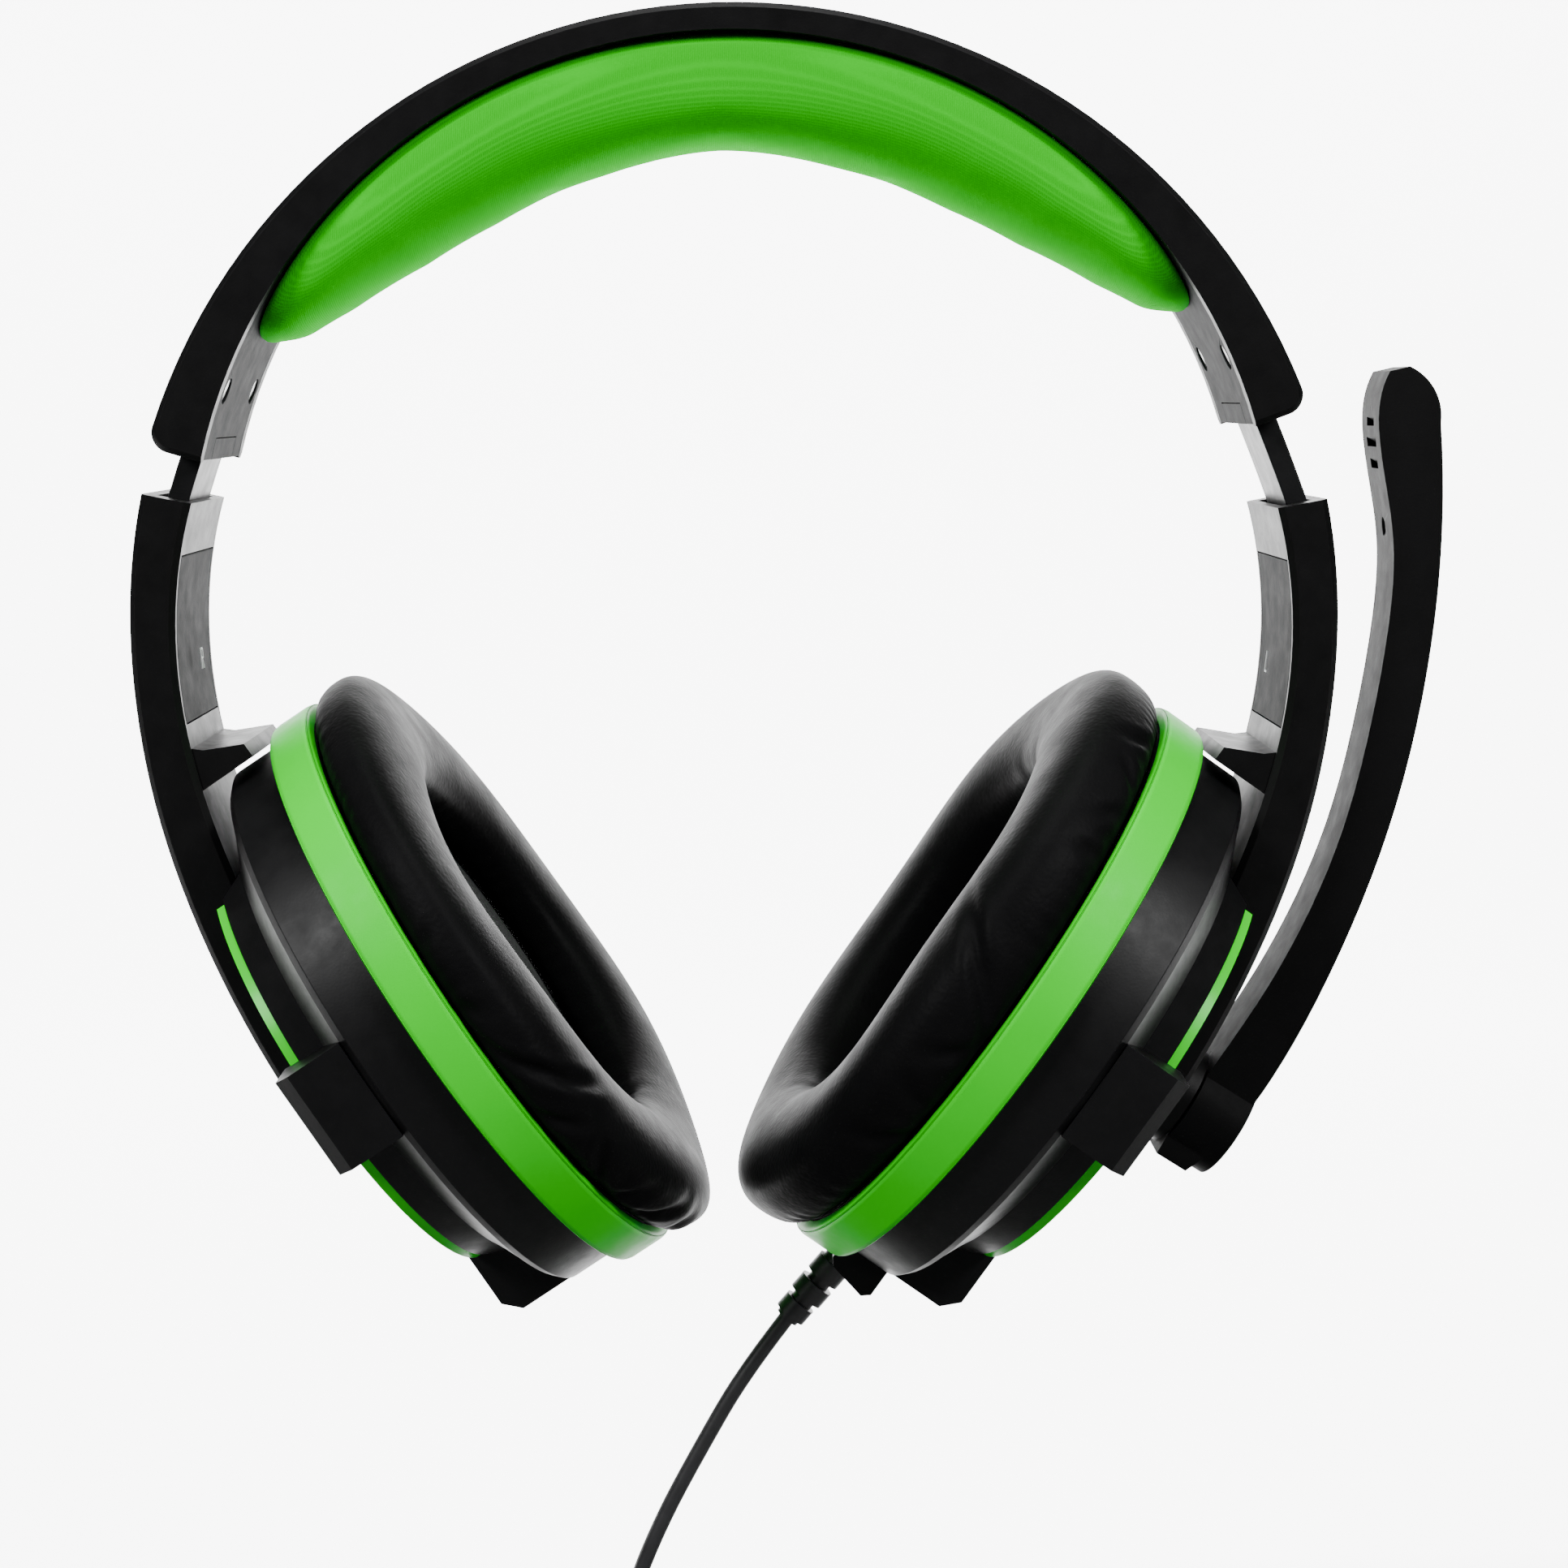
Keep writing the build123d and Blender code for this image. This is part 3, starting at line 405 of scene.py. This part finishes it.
def metal(name, colour, roughness, stretch):
    """Drawn or turned metal with fine scratches along one way."""
    material, tree, bsdf = shader(name, colour, roughness, 1.0)
    lines = noise(tree, 400, 4, 0.6, stretch)
    tree.links.new(spread(tree, lines, 0.3, 0.7, roughness - 0.08, roughness + 0.1), bsdf.inputs["Roughness"])
    tone = spread(tree, noise(tree, 150, 4, 0.6), 0.3, 0.7, 0, 1)
    dull = tuple(0.8 * c for c in colour)
    tree.links.new(mixed(tree, tone, colour, dull), bsdf.inputs["Base Color"])
    bump(tree, bsdf, lines, 0.00002, 0.4)
    return material


def soft_rubber(name, colour, roughness):
    """Moulded rubber or cord jacket: matt, with a faint skin texture."""
    material, tree, bsdf = shader(name, colour, roughness)
    tone = spread(tree, noise(tree, 120, 4, 0.6), 0.3, 0.7, 0, 1)
    paler = tuple(1.7 * c for c in colour)
    tree.links.new(mixed(tree, tone, colour, paler), bsdf.inputs["Base Color"])
    gloss = spread(tree, noise(tree, 500, 4, 0.6), 0.3, 0.7, roughness - 0.06, roughness + 0.06)
    tree.links.new(gloss, bsdf.inputs["Roughness"])
    bump(tree, bsdf, noise(tree, 1800, 3, 0.6), 0.00004, 0.5)
    return material


def circuit_board(name):
    """Green solder mask with copper tracks under it."""
    material, tree, bsdf = shader(name, (0.01, 0.10, 0.03), 0.35)
    brick = tree.nodes.new("ShaderNodeTexBrick")
    brick.inputs["Scale"].default_value = 420
    brick.inputs["Mortar Size"].default_value = 0.06
    tree.links.new(place_node(tree), brick.inputs["Vector"])
    tracks = mixed(tree, brick.outputs["Fac"], (0.008, 0.09, 0.03), (0.03, 0.19, 0.05))
    tree.links.new(tracks, bsdf.inputs["Base Color"])
    bump(tree, bsdf, brick.outputs["Fac"], 0.00004, 0.6)
    return material


def clear_film(name):
    """Pale polyester film of the driver's diaphragm."""
    material, tree, bsdf = shader(name, (0.5, 0.5, 0.48), 0.25)
    rings = cells(tree, 700)
    tree.links.new(mixed(tree, rings, (0.45, 0.45, 0.42), (0.6, 0.6, 0.57)), bsdf.inputs["Base Color"])
    bump(tree, bsdf, noise(tree, 900, 2, 0.5), 0.00003, 0.4)
    return material


def open_foam(name):
    """Open-cell foam round the microphone capsule."""
    material, tree, bsdf = shader(name, (0.02, 0.02, 0.022), 0.95)
    pores = spread(tree, cells(tree, 2200), 0.1, 0.5, 0, 1)
    tree.links.new(mixed(tree, pores, (0.004, 0.004, 0.004), (0.03, 0.03, 0.032)), bsdf.inputs["Base Color"])
    bump(tree, bsdf, pores, 0.0002, 0.8)
    return material


# Black plastics: clean colour, worn colour, roughness, grain scale, grain depth in metres, and gloss.
BLACK_PLASTICS = {
    "satin": ("satin_black", (0.0022, 0.0022, 0.0023), (0.0034, 0.0034, 0.0036), 0.46, 2600, 0.00003, 0.10),
    "boom": ("boom_black", (0.0026, 0.0026, 0.0027), (0.004, 0.004, 0.0042), 0.60, 2300, 0.00004, 0.06),
    "inner": ("grained_black", (0.006, 0.006, 0.0068), (0.009, 0.009, 0.0098), 0.66, 1900, 0.00006, 0.03),
    "strip": ("strip_black", (0.004, 0.004, 0.0043), (0.007, 0.007, 0.0074), 0.42, 2200, 0.00003, 0.14),
    "disc": ("disc_black", (0.0026, 0.0026, 0.0028), (0.004, 0.004, 0.0043), 0.44, 2600, 0.00003, 0.14),
}
MATERIALS = {key: moulded_plastic(*values) for key, values in BLACK_PLASTICS.items()} | {
    "ring": green_plastic("ring_green", (0.0, 0.60, 0.0), (0.0, 0.53, 0.0), 0.45, 0.0),
    "accent": green_plastic("accent_green", (0.0, 0.75, 0.0), (0.0, 0.66, 0.0), 0.35, 0.1),
    "fabric": woven_green("pad_fabric"),
    "leather": black_leather("cushion_leather"),
    "cloth": speaker_weave("speaker_cloth"),
    "steel": metal("steel", (0.55, 0.55, 0.56), 0.3, (1, 12, 1)),
    "gold": metal("plug_gold", (0.83, 0.60, 0.24), 0.18, (1, 1, 10)),
    "cord": soft_rubber("cord_rubber", (0.010, 0.010, 0.011), 0.42),
    "wire": soft_rubber("wire_jacket", (0.25, 0.012, 0.010), 0.5),
    "board": circuit_board("board"),
    "film": clear_film("diaphragm"),
    "foam": open_foam("foam"),
    "paint": moulded_plastic("mark_paint", (0.45, 0.45, 0.46), (0.36, 0.36, 0.37), 0.5, 2400, 0.00002),
}


# ---------------------------------------------------------------- the CAD nodes' materials
MATERIAL_RULES = (
    # words in a node's name and its material: the first that fits counts
    (("plug_pin",), "gold"),
    (("end_cover_screws",), "steel"),
    (("inner_cover", "end_cover", "slider_clip"), "inner"),
    (("slider_strip",), "strip"),
    (("trim_ring",), "ring"),
    (("accent_line",), "accent"),
    (("outer_disc", "cup_housing"), "disc"),
    (("speaker_cloth",), "cloth"),
    (("steel", "screws", "_pin", "magnet", "capsule"), "steel"),
    (("plug_body", "strain_relief", "cord", "tie"), "cord"),
    (("crossover_wire",), "wire"),
    (("board",), "board"),
    (("diaphragm",), "film"),
    (("foam",), "foam"),
    (("mic_boom",), "boom"),
)


def material_for(node):
    """Which material a CAD node is shown in."""
    for words, key in MATERIAL_RULES:
        if any(word in node for word in words):
            return MATERIALS[key]
    return MATERIALS["satin"]


WELD_WITHIN = 0.00001
BEVEL_STEPS = 3
SHARP_FROM = radians(32)
SOFT_EDGES = {                   # bevel widths in mm, by a word in the node's name
    "headband_shell": 0.8,
    "end_cover": 0.35,
    "slider_strip": 0.25,
    "arm_shell": 0.6,
    "inner_cover": 0.3,
    "cup_housing": 0.6,
    "outer_disc": 0.45,
    "trim_ring": 0.5,
    "cable_boss": 0.7,
    "mic_boom": 0.9,
    "tie": 0.5,
}


def soften_edges(node, width):
    """Rounds a hard piece's sharp edges as moulding leaves them. The width is in mm."""
    weld = node.modifiers.new("weld", "WELD")
    weld.merge_threshold = WELD_WITHIN
    bevel = node.modifiers.new("bevel", "BEVEL")
    bevel.width = width * MM
    bevel.segments = BEVEL_STEPS
    bevel.limit_method = "ANGLE"
    bevel.angle_limit = SHARP_FROM
    even = node.modifiers.new("even", "WEIGHTED_NORMAL")
    even.keep_sharp = False


def dress_nodes():
    """Gives each CAD node its material, and softens the edges of those that are moulded."""
    for name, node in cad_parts.items():
        node.data.materials.clear()
        node.data.materials.append(material_for(name))
        for word, width in SOFT_EDGES.items():
            if word in name:
                soften_edges(node, width)


dress_nodes()


# ---------------------------------------------------------------- cord
CORD_DIAMETER = 0.0026
CORD_EXIT = (0.00406, 0.0, -0.18229)
CORD_LEAD = [
    (-0.0030, 0.0, -0.1910),
    (-0.0100, 0.0, -0.2025),
    (-0.0166, 0.0, -0.2140),
    (-0.0218, 0.0003, -0.2256),
    (-0.0254, 0.0008, -0.2380),
]
CORD_TAIL = [
    (-0.0298, -0.0016, -0.2625),
    (-0.0288, -0.0020, -0.2715),
    (-0.0286, -0.0020, -0.2790),
]
COIL_CENTRE = Vector((-0.0118, 0.0, -0.2510))
COIL_RADIUS = 0.0150
COIL_TURNS = 11
POINTS_PER_TURN = 16
OUTER_STRANDS = 9
FIRST_STRAND = radians(23)
CHANGE_FROM = 0.62               # where in a turn the cord starts to change places, and over how much of it
CHANGE_OVER = 0.22


def strand_places():
    """Where each turn lies in the bundle, outward and back to front: two inside, then nine round them."""
    inner = CORD_DIAMETER / 2
    ring = CORD_DIAMETER / (2 * sin(pi / OUTER_STRANDS))
    places = [(0.0, inner), (0.0, -inner)]
    for index in range(OUTER_STRANDS):
        angle = FIRST_STRAND + index * 2 * pi / OUTER_STRANDS
        places.append((ring * cos(angle), ring * sin(angle)))
    return places


def coil_points():
    """The wound turns, from the coil's -X side and back to it. They change places under the tie."""
    places = strand_places()
    outset = 1 / cos(pi / POINTS_PER_TURN)
    found = []
    for step in range(COIL_TURNS * POINTS_PER_TURN + 1):
        turned = step / POINTS_PER_TURN
        turn = min(int(turned), COIL_TURNS - 1)
        share = turned - turn
        blend = min(1.0, max(0.0, (share - CHANGE_FROM) / CHANGE_OVER))
        blend = blend * blend * (3 - 2 * blend)
        here = places[turn]
        then = places[min(turn + 1, COIL_TURNS - 1)]
        outward = here[0] + (then[0] - here[0]) * blend
        across = here[1] + (then[1] - here[1]) * blend
        angle = pi + 2 * pi * turned
        radius = (COIL_RADIUS + outward) * outset
        found.append(COIL_CENTRE + Vector((radius * cos(angle), across, radius * sin(angle))))
    return found


def add_cord():
    """The cord from the strain relief to the plug, as one smooth curve."""
    lead = [Vector(place) for place in [CORD_EXIT] + CORD_LEAD]
    tail = [Vector(place) for place in CORD_TAIL]
    route = lead + coil_points() + tail
    curve = bpy.data.curves.new("cord", "CURVE")
    curve.dimensions = "3D"
    curve.bevel_depth = CORD_DIAMETER / 2
    curve.bevel_resolution = 5
    curve.resolution_u = 6
    curve.use_fill_caps = True
    spline = curve.splines.new("NURBS")
    spline.points.add(len(route) - 1)
    for point, place in zip(spline.points, route):
        point.co = (*place, 1)
    spline.order_u = 3
    spline.use_endpoint_u = True
    piece = bpy.data.objects.new("cord", curve)
    bpy.context.scene.collection.objects.link(piece)
    ride_on(piece, "left_cup", MATERIALS["cord"])
    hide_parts("cord_lead", "cord_coil", "cord_tail")


add_cord()


# ---------------------------------------------------------------- headband pad
BAND_INNER_R = 0.0801            # the band's inner face, about a centre a little above the arc's
BAND_INNER_UP = 0.0046
PAD_HALF = 0.0172
PAD_FROM = 31.6                  # the pad's ends, degrees above the arc's centre
# The pad's crown line: degrees above the arc's centre, and mm from it.
PAD_PROFILE = [
    (31.6, 81.0),
    (34.0, 77.2),
    (40.0, 73.8),
    (50.0, 70.3),
    (60.0, 68.8),
    (75.0, 68.4),
    (90.0, 68.9),
]
PAD_BEHIND = 0.0001              # the gap between the pad's back and the band
PAD_END_WIDTH = 0.12             # the width at the very ends, as a share of the full width
PAD_END_SQUARE = 14              # powers that shape the ends, the sides and the crown
PAD_SIDE_SQUARE = 0.72
PAD_CROWN_FULL = 0.62
PAD_SWELL = 0.0010               # the most that the simulation may move a point of the pad
PAD_PRESSURE = 5.0
PAD_ROWS = 121
PAD_FLAT = 9                     # points across the back
PAD_ROUND = 31                   # points across the front


def band_face(angle):
    """Distance of the band's inner face from the arc's centre."""
    return BAND_INNER_UP * sin(angle) + sqrt(BAND_INNER_R**2 - (BAND_INNER_UP * cos(angle)) ** 2)


def pad_face(degrees_up):
    """Distance of the pad's crown line from the arc's centre, the same on both sides."""
    low = min(degrees_up, 180 - degrees_up)
    return float(np.interp(low, *zip(*PAD_PROFILE))) * MM


def pad_section(share):
    """Points round the pad, at a share from -1 to 1 of its length: y, distance from the arc's centre, pin."""
    degrees_up = 90 + share * (90 - PAD_FROM)
    back = band_face(radians(degrees_up)) - PAD_BEHIND
    front = pad_face(degrees_up)
    taper = max(0.0, 1 - abs(share) ** PAD_END_SQUARE) ** 0.5
    half = PAD_HALF * (PAD_END_WIDTH + (1 - PAD_END_WIDTH) * taper)
    section = [(half * (1 - 2 * j / (PAD_FLAT - 1)), back, 1.0) for j in range(PAD_FLAT)]
    for j in range(1, PAD_ROUND - 1):
        phase = pi * j / (PAD_ROUND - 1)
        y = -half * signed_power(cos(phase), PAD_SIDE_SQUARE)
        depth = (back - front) * sin(phase) ** PAD_CROWN_FULL
        section.append((y, back - depth, 0.0))
    return section


def add_pad():
    """The crown cushion. Its back is held to the band, and the simulation moves its front by up to 0.6 mm."""
    points = []
    held = []
    for i in range(PAD_ROWS):
        share = 2 * i / (PAD_ROWS - 1) - 1
        angle = radians(90 + share * (90 - PAD_FROM))
        for y, radius, pin in pad_section(share):
            points.append(ARC_CENTRE + Vector((radius * cos(angle), y, radius * sin(angle))))
            held.append(pin)
    columns = PAD_FLAT + PAD_ROUND - 2
    faces = grid_faces(PAD_ROWS, columns, False, True)
    faces.append(tuple(reversed(range(columns))))
    faces.append(tuple((PAD_ROWS - 1) * columns + j for j in range(columns)))
    piece = mesh_object("headband_pad_cover", points, faces)
    outward_faces(piece)
    inflate(piece, held, PAD_SWELL, pressure=PAD_PRESSURE)
    subdivide(piece, 1)
    ride_on(piece, "headband", MATERIALS["fabric"])
    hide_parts("headband_pad")


add_pad()


# ---------------------------------------------------------------- ear cushions
CUSHION_MID_W = {"right": -0.0121, "left": -0.0139}
CUSHION_MID_R = 0.0396
CUSHION_HALF_W = {"right": 0.0050, "left": 0.0068}   # the right one is pressed a little flatter
CUSHION_HALF_R = 0.0105
ROLL_SQUARE = 0.84               # powers that shape the roll: its depth, and its width in front and behind
FULL_FRONT = 0.9
FULL_BEHIND = 0.34
SEAM_W = -0.0073
SEAM_CLEAR = 0.0002
HELD_FROM_SEAM = 0.0010
CUSHION_SWELL = 0.0009           # the most that the simulation may move a point of a cushion
WAVE_START = {"right": 1.3, "left": 4.1}     # makes the two cushions' waves differ
# Gathers along the outer seam and round the hole: the section angle, its spread, and the depth.
OUTER_GATHERS = (-2.35, 0.42, 0.00038)
INNER_GATHERS = (1.9, 0.35, 0.00022)
AROUND = 360
SECTION = 48
# Each crease: angle round the cushion from the top towards the front, the section angle where it is deepest,
# how far it reaches along the section, its depth and width in mm, and how much it slants.
CREASES = {
    "right": [
        (104, -80, 55, 1.3, 1.4, 10),
        (112, -112, 26, 0.9, 1.2, 6),
        (124, -105, 32, 1.0, 1.5, -8),
        (135, -110, 30, 0.8, 1.3, 4),
        (146, -100, 34, 0.9, 1.5, 8),
        (88, -120, 20, 0.6, 1.1, 2),
        (74, -122, 18, 0.5, 1.0, -3),
        (158, -105, 30, 0.7, 1.6, 0),
        (172, 105, 40, 1.0, 2.4, 10),
        (184, 110, 38, 0.8, 2.2, -10),
        (163, 110, 34, 0.7, 1.9, 4),
    ],
    "left": [
        (84, -85, 50, 1.5, 1.5, -9),
        (28, -115, 22, 0.8, 1.2, 6),
        (38, -118, 20, 0.7, 1.1, -5),
        (48, -118, 20, 0.7, 1.1, 4),
        (57, -116, 20, 0.6, 1.0, 0),
        (98, -114, 24, 0.8, 1.2, 5),
        (108, -116, 22, 0.7, 1.1, -4),
        (118, -114, 24, 0.8, 1.2, 4),
        (10, 100, 44, 1.2, 2.2, 12),
        (-2, 108, 40, 1.0, 2.0, -8),
        (-14, 104, 38, 0.9, 2.2, 6),
        (172, 100, 36, 0.9, 2.3, -10),
    ],
}


def section_point(name, phase):
    """A point of the cushion's section. Phase 0 is the top of the roll, and negative is outwards."""
    across = -sin(phase)
    along = cos(phase)
    w = CUSHION_MID_W[name] - CUSHION_HALF_W[name] * signed_power(along, ROLL_SQUARE)
    fullness = FULL_FRONT if along > 0 else FULL_BEHIND
    r = CUSHION_MID_R + CUSHION_HALF_R * signed_power(across, fullness)
    return min(w, SEAM_W + SEAM_CLEAR), r


def gathers(around, phase, start):
    """How far the leather is gathered in at a place, along the outer seam and round the hole."""
    centre, width, deep = OUTER_GATHERS
    seam = exp(-(((phase - centre) / width) ** 2))
    drift = 2.2 * sin(around * 7 + start) + 1.4 * sin(around * 17 + 1.7 * start)
    waves = sin(around * 101 + drift)
    uneven = 0.55 + 0.45 * sin(around * 13 + start) * sin(around * 5 + 0.7)
    drawn = deep * seam * uneven * (0.5 + 0.5 * waves)
    centre, width, deep = INNER_GATHERS
    hole = exp(-(((phase - centre) / width) ** 2))
    return drawn + deep * hole * (0.5 + 0.5 * sin(around * 47 + 2.0 * sin(around * 11 + start)))


def creases(name, around, phase):
    """How far the leather is drawn in at a place by the single creases."""
    drawn = 0.0
    for angle, centre, reach, depth, width, slant in CREASES[name]:
        off = phase - radians(centre)
        along = off / radians(reach)
        if abs(along) > 2.2:
            continue
        middle = radians(angle) + radians(slant) * off
        turn = (around - middle + pi) % (2 * pi) - pi
        near = turn * CUSHION_MID_R / (width * MM)
        if abs(near) < 4:
            lip = exp(-(near**2)) - 0.28 * exp(-((abs(near) - 1.7) ** 2))
            drawn += depth * MM * lip * exp(-(along**2))
    return drawn


def add_cushion(name):
    """A cup's cushion: a padded ring, held at its seam, which is then gathered and creased.

    Its shape comes from section_point. The simulation moves it by hundredths of a millimetre only.
    """
    cup = cups[name]
    start = WAVE_START[name]
    points = []
    held = []
    for i in range(AROUND):
        around = 2 * pi * i / AROUND
        sag = 0.0004 * sin(3 * around + start) + 0.0003 * sin(5 * around)
        for j in range(SECTION):
            phase = 2 * pi * j / SECTION - pi
            w, r = section_point(name, phase)
            points.append(cup.at(w - sag * max(0.0, cos(phase)), r, around))
            held.append(1.0 if w > SEAM_W - HELD_FROM_SEAM else 0.0)
    faces = grid_faces(AROUND, SECTION, True, True)
    piece = mesh_object(f"{name}_cushion_cover", points, faces)
    outward_faces(piece)
    inflate(piece, held, CUSHION_SWELL)
    normals = np.zeros(len(points) * 3)
    piece.data.vertices.foreach_get("normal", normals)
    depth = []
    for i in range(AROUND):
        around = 2 * pi * i / AROUND
        for j in range(SECTION):
            phase = 2 * pi * j / SECTION - pi
            depth.append(gathers(around, phase, start) + creases(name, around, phase))
    set_vertices(piece, vertex_array(piece) - normals.reshape(-1, 3) * np.array(depth)[:, None])
    subdivide(piece, 1)
    ride_on(piece, f"{name}_cup", MATERIALS["leather"])
    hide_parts(f"{name}_ear_cushion")


for side_name in SIDES:
    add_cushion(side_name)


# ---------------------------------------------------------------- side marks
# Strokes of the wearer's-side letters, in shares of the letter's height: x, y, half width, half height, lean.
LETTERS = {
    "left": [(0.05, 0.5, 0.05, 0.5, 0.0), (0.30, 0.05, 0.25, 0.05, 0.0)],
    "right": [
        (0.05, 0.5, 0.05, 0.5, 0.0),
        (0.28, 0.95, 0.20, 0.05, 0.0),
        (0.28, 0.52, 0.20, 0.05, 0.0),
        (0.52, 0.735, 0.05, 0.21, 0.0),
        (0.40, 0.25, 0.05, 0.25, -0.22),
    ],
}
STROKE_CORNERS = [(-1, -1), (1, -1), (1, 1), (-1, 1)]
LETTER_HEIGHT = 0.0032
LETTER_MIDDLE = (0.3, 0.5)
MARK_ANGLE = radians(1.1)        # how far the letters sit above the cover's middle, about the arc's centre
COVER_FACE_R = 0.08225
PAINT = 0.00008


def add_mark(name):
    """The L or R on the arm's inner cover, in pale paint."""
    side = SIDES[name]
    turn = radians(SLIDE_OUT[name]) - MARK_ANGLE
    inward = Vector((-side * cos(turn), 0, sin(turn)))
    up = Vector((side * sin(turn), 0, cos(turn)))
    across = Vector((0, -side, 0))
    middle = ARC_CENTRE - inward * COVER_FACE_R
    points = []
    faces = []
    for x, y, half_x, half_y, lean in LETTERS[name]:
        start = len(points)
        for depth in (-PAINT, PAINT):
            for i, j in STROKE_CORNERS:
                along = (x - LETTER_MIDDLE[0] + i * half_x + j * lean / 2) * LETTER_HEIGHT
                high = (y - LETTER_MIDDLE[1] + j * half_y) * LETTER_HEIGHT
                points.append(middle + across * along + up * high + inward * (depth + PAINT))
        faces.append([start + k for k in (3, 2, 1, 0)])
        faces.append([start + k for k in (4, 5, 6, 7)])
        for k in range(4):
            m = (k + 1) % 4
            faces.append([start + k, start + m, start + m + 4, start + k + 4])
    piece = mesh_object(f"{name}_side_mark", points, faces, smooth=False)
    outward_faces(piece)
    ride_on(piece, f"{name}_arm", MATERIALS["paint"])


for side_name in SIDES:
    add_mark(side_name)


# ---------------------------------------------------------------- studio
FLOOR_BELOW = 0.02               # the floor's distance below the lowest piece
FLOOR_ROWS = (-1.6, -0.2)        # where the floor starts, and a row in its flat part
SWEEP_FROM = 0.9                 # where the paper starts to curve up, and its radius, height and half width
SWEEP_RADIUS = 0.5
SWEEP_STEPS = 12
SWEEP_HEIGHT = 2.4
SWEEP_HALF = 2.4
BACKDROP_GLOW = 6.5
GLOW_STARTS = (0.12, 0.28)       # from no glow and grey painted shade to full glow and white paper, going back
GLOW_SIDES = (0.62, 0.85)        # from full glow to nearly none, going aside
GLOW_TOP = (0.55, 0.8)           # and going up
GLOW_LEFT_OVER = 0.04
ROOM_GLOW = 0.03
LAMPS = (
    # name, place, what it points at, size and power
    ("key_left", (-0.75, -0.75, 0.55), (0, 0, -0.08), 0.35, 16),
    ("key_right", (0.75, -0.75, 0.55), (0, 0, -0.08), 0.35, 16),
    ("top", (0, -0.15, 0.8), (0, 0, -0.1), 0.6, 10),
)


def glowing_paper():
    """Paper that is grey near the headset, as painted shade, and glows white behind it."""
    material, tree, bsdf = shader("studio_paper", (0.9, 0.9, 0.9), 0.9)
    tree.links.new(spread(tree, noise(tree, 3, 2), 0.3, 0.7, 0.86, 0.94), bsdf.inputs["Roughness"])
    axes = tree.nodes.new("ShaderNodeSeparateXYZ")
    tree.links.new(place_node(tree), axes.inputs["Vector"])
    behind = spread(tree, axes.outputs["Y"], *GLOW_STARTS, 0.0, 1.0)
    # Painted shade: the paper's colour is grey near the headset and white behind it.
    tree.links.new(mixed(tree, behind, (0.16, 0.16, 0.16), (0.9, 0.9, 0.9)), bsdf.inputs["Base Color"])
    bsdf.inputs["Emission Color"].default_value = (1, 1, 1, 1)
    aside = math_node(tree, "ABSOLUTE", axes.outputs["X"])
    glow = spread(tree, axes.outputs["Y"], *GLOW_STARTS, 0.0, BACKDROP_GLOW)
    for source, fade in ((aside, GLOW_SIDES), (axes.outputs["Z"], GLOW_TOP)):
        glow = math_node(tree, "MULTIPLY", glow, spread(tree, source, *fade, 1.0, GLOW_LEFT_OVER))
    tree.links.new(glow, bsdf.inputs["Emission Strength"])
    return material


def add_backdrop():
    """A floor that curves up into a wall behind the headset."""
    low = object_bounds()[0].z - FLOOR_BELOW
    profile = [(y, low) for y in (*FLOOR_ROWS, SWEEP_FROM)]
    for step in range(1, SWEEP_STEPS + 1):
        angle = pi / 2 * step / SWEEP_STEPS
        profile.append((SWEEP_FROM + SWEEP_RADIUS * sin(angle), low + SWEEP_RADIUS * (1 - cos(angle))))
    profile.append((SWEEP_FROM + SWEEP_RADIUS, low + SWEEP_HEIGHT))
    points = []
    for y, z in profile:
        points += [(-SWEEP_HALF, y, z), (SWEEP_HALF, y, z)]
    faces = [(2 * i, 2 * i + 1, 2 * i + 3, 2 * i + 2) for i in range(len(profile) - 1)]
    floor = mesh_object("studio_floor", points, faces)
    floor.data.materials.append(glowing_paper())


def add_room():
    """A dim, even glow from all round."""
    world = bpy.data.worlds.new("world")
    world.use_nodes = True
    background = world.node_tree.nodes["Background"]
    background.inputs["Color"].default_value = (1, 1, 1, 1)
    background.inputs["Strength"].default_value = ROOM_GLOW
    bpy.context.scene.world = world


def add_lamps():
    """Soft lamps high in front at both sides, and one above."""
    for name, place, target, size, power in LAMPS:
        data = bpy.data.lights.new(name, "AREA")
        data.size = size
        data.energy = power
        lamp = bpy.data.objects.new(name, data)
        lamp.location = place
        lamp.rotation_euler = (Vector(target) - Vector(place)).to_track_quat("-Z", "Y").to_euler()
        bpy.context.scene.collection.objects.link(lamp)


add_backdrop()
add_room()
add_lamps()
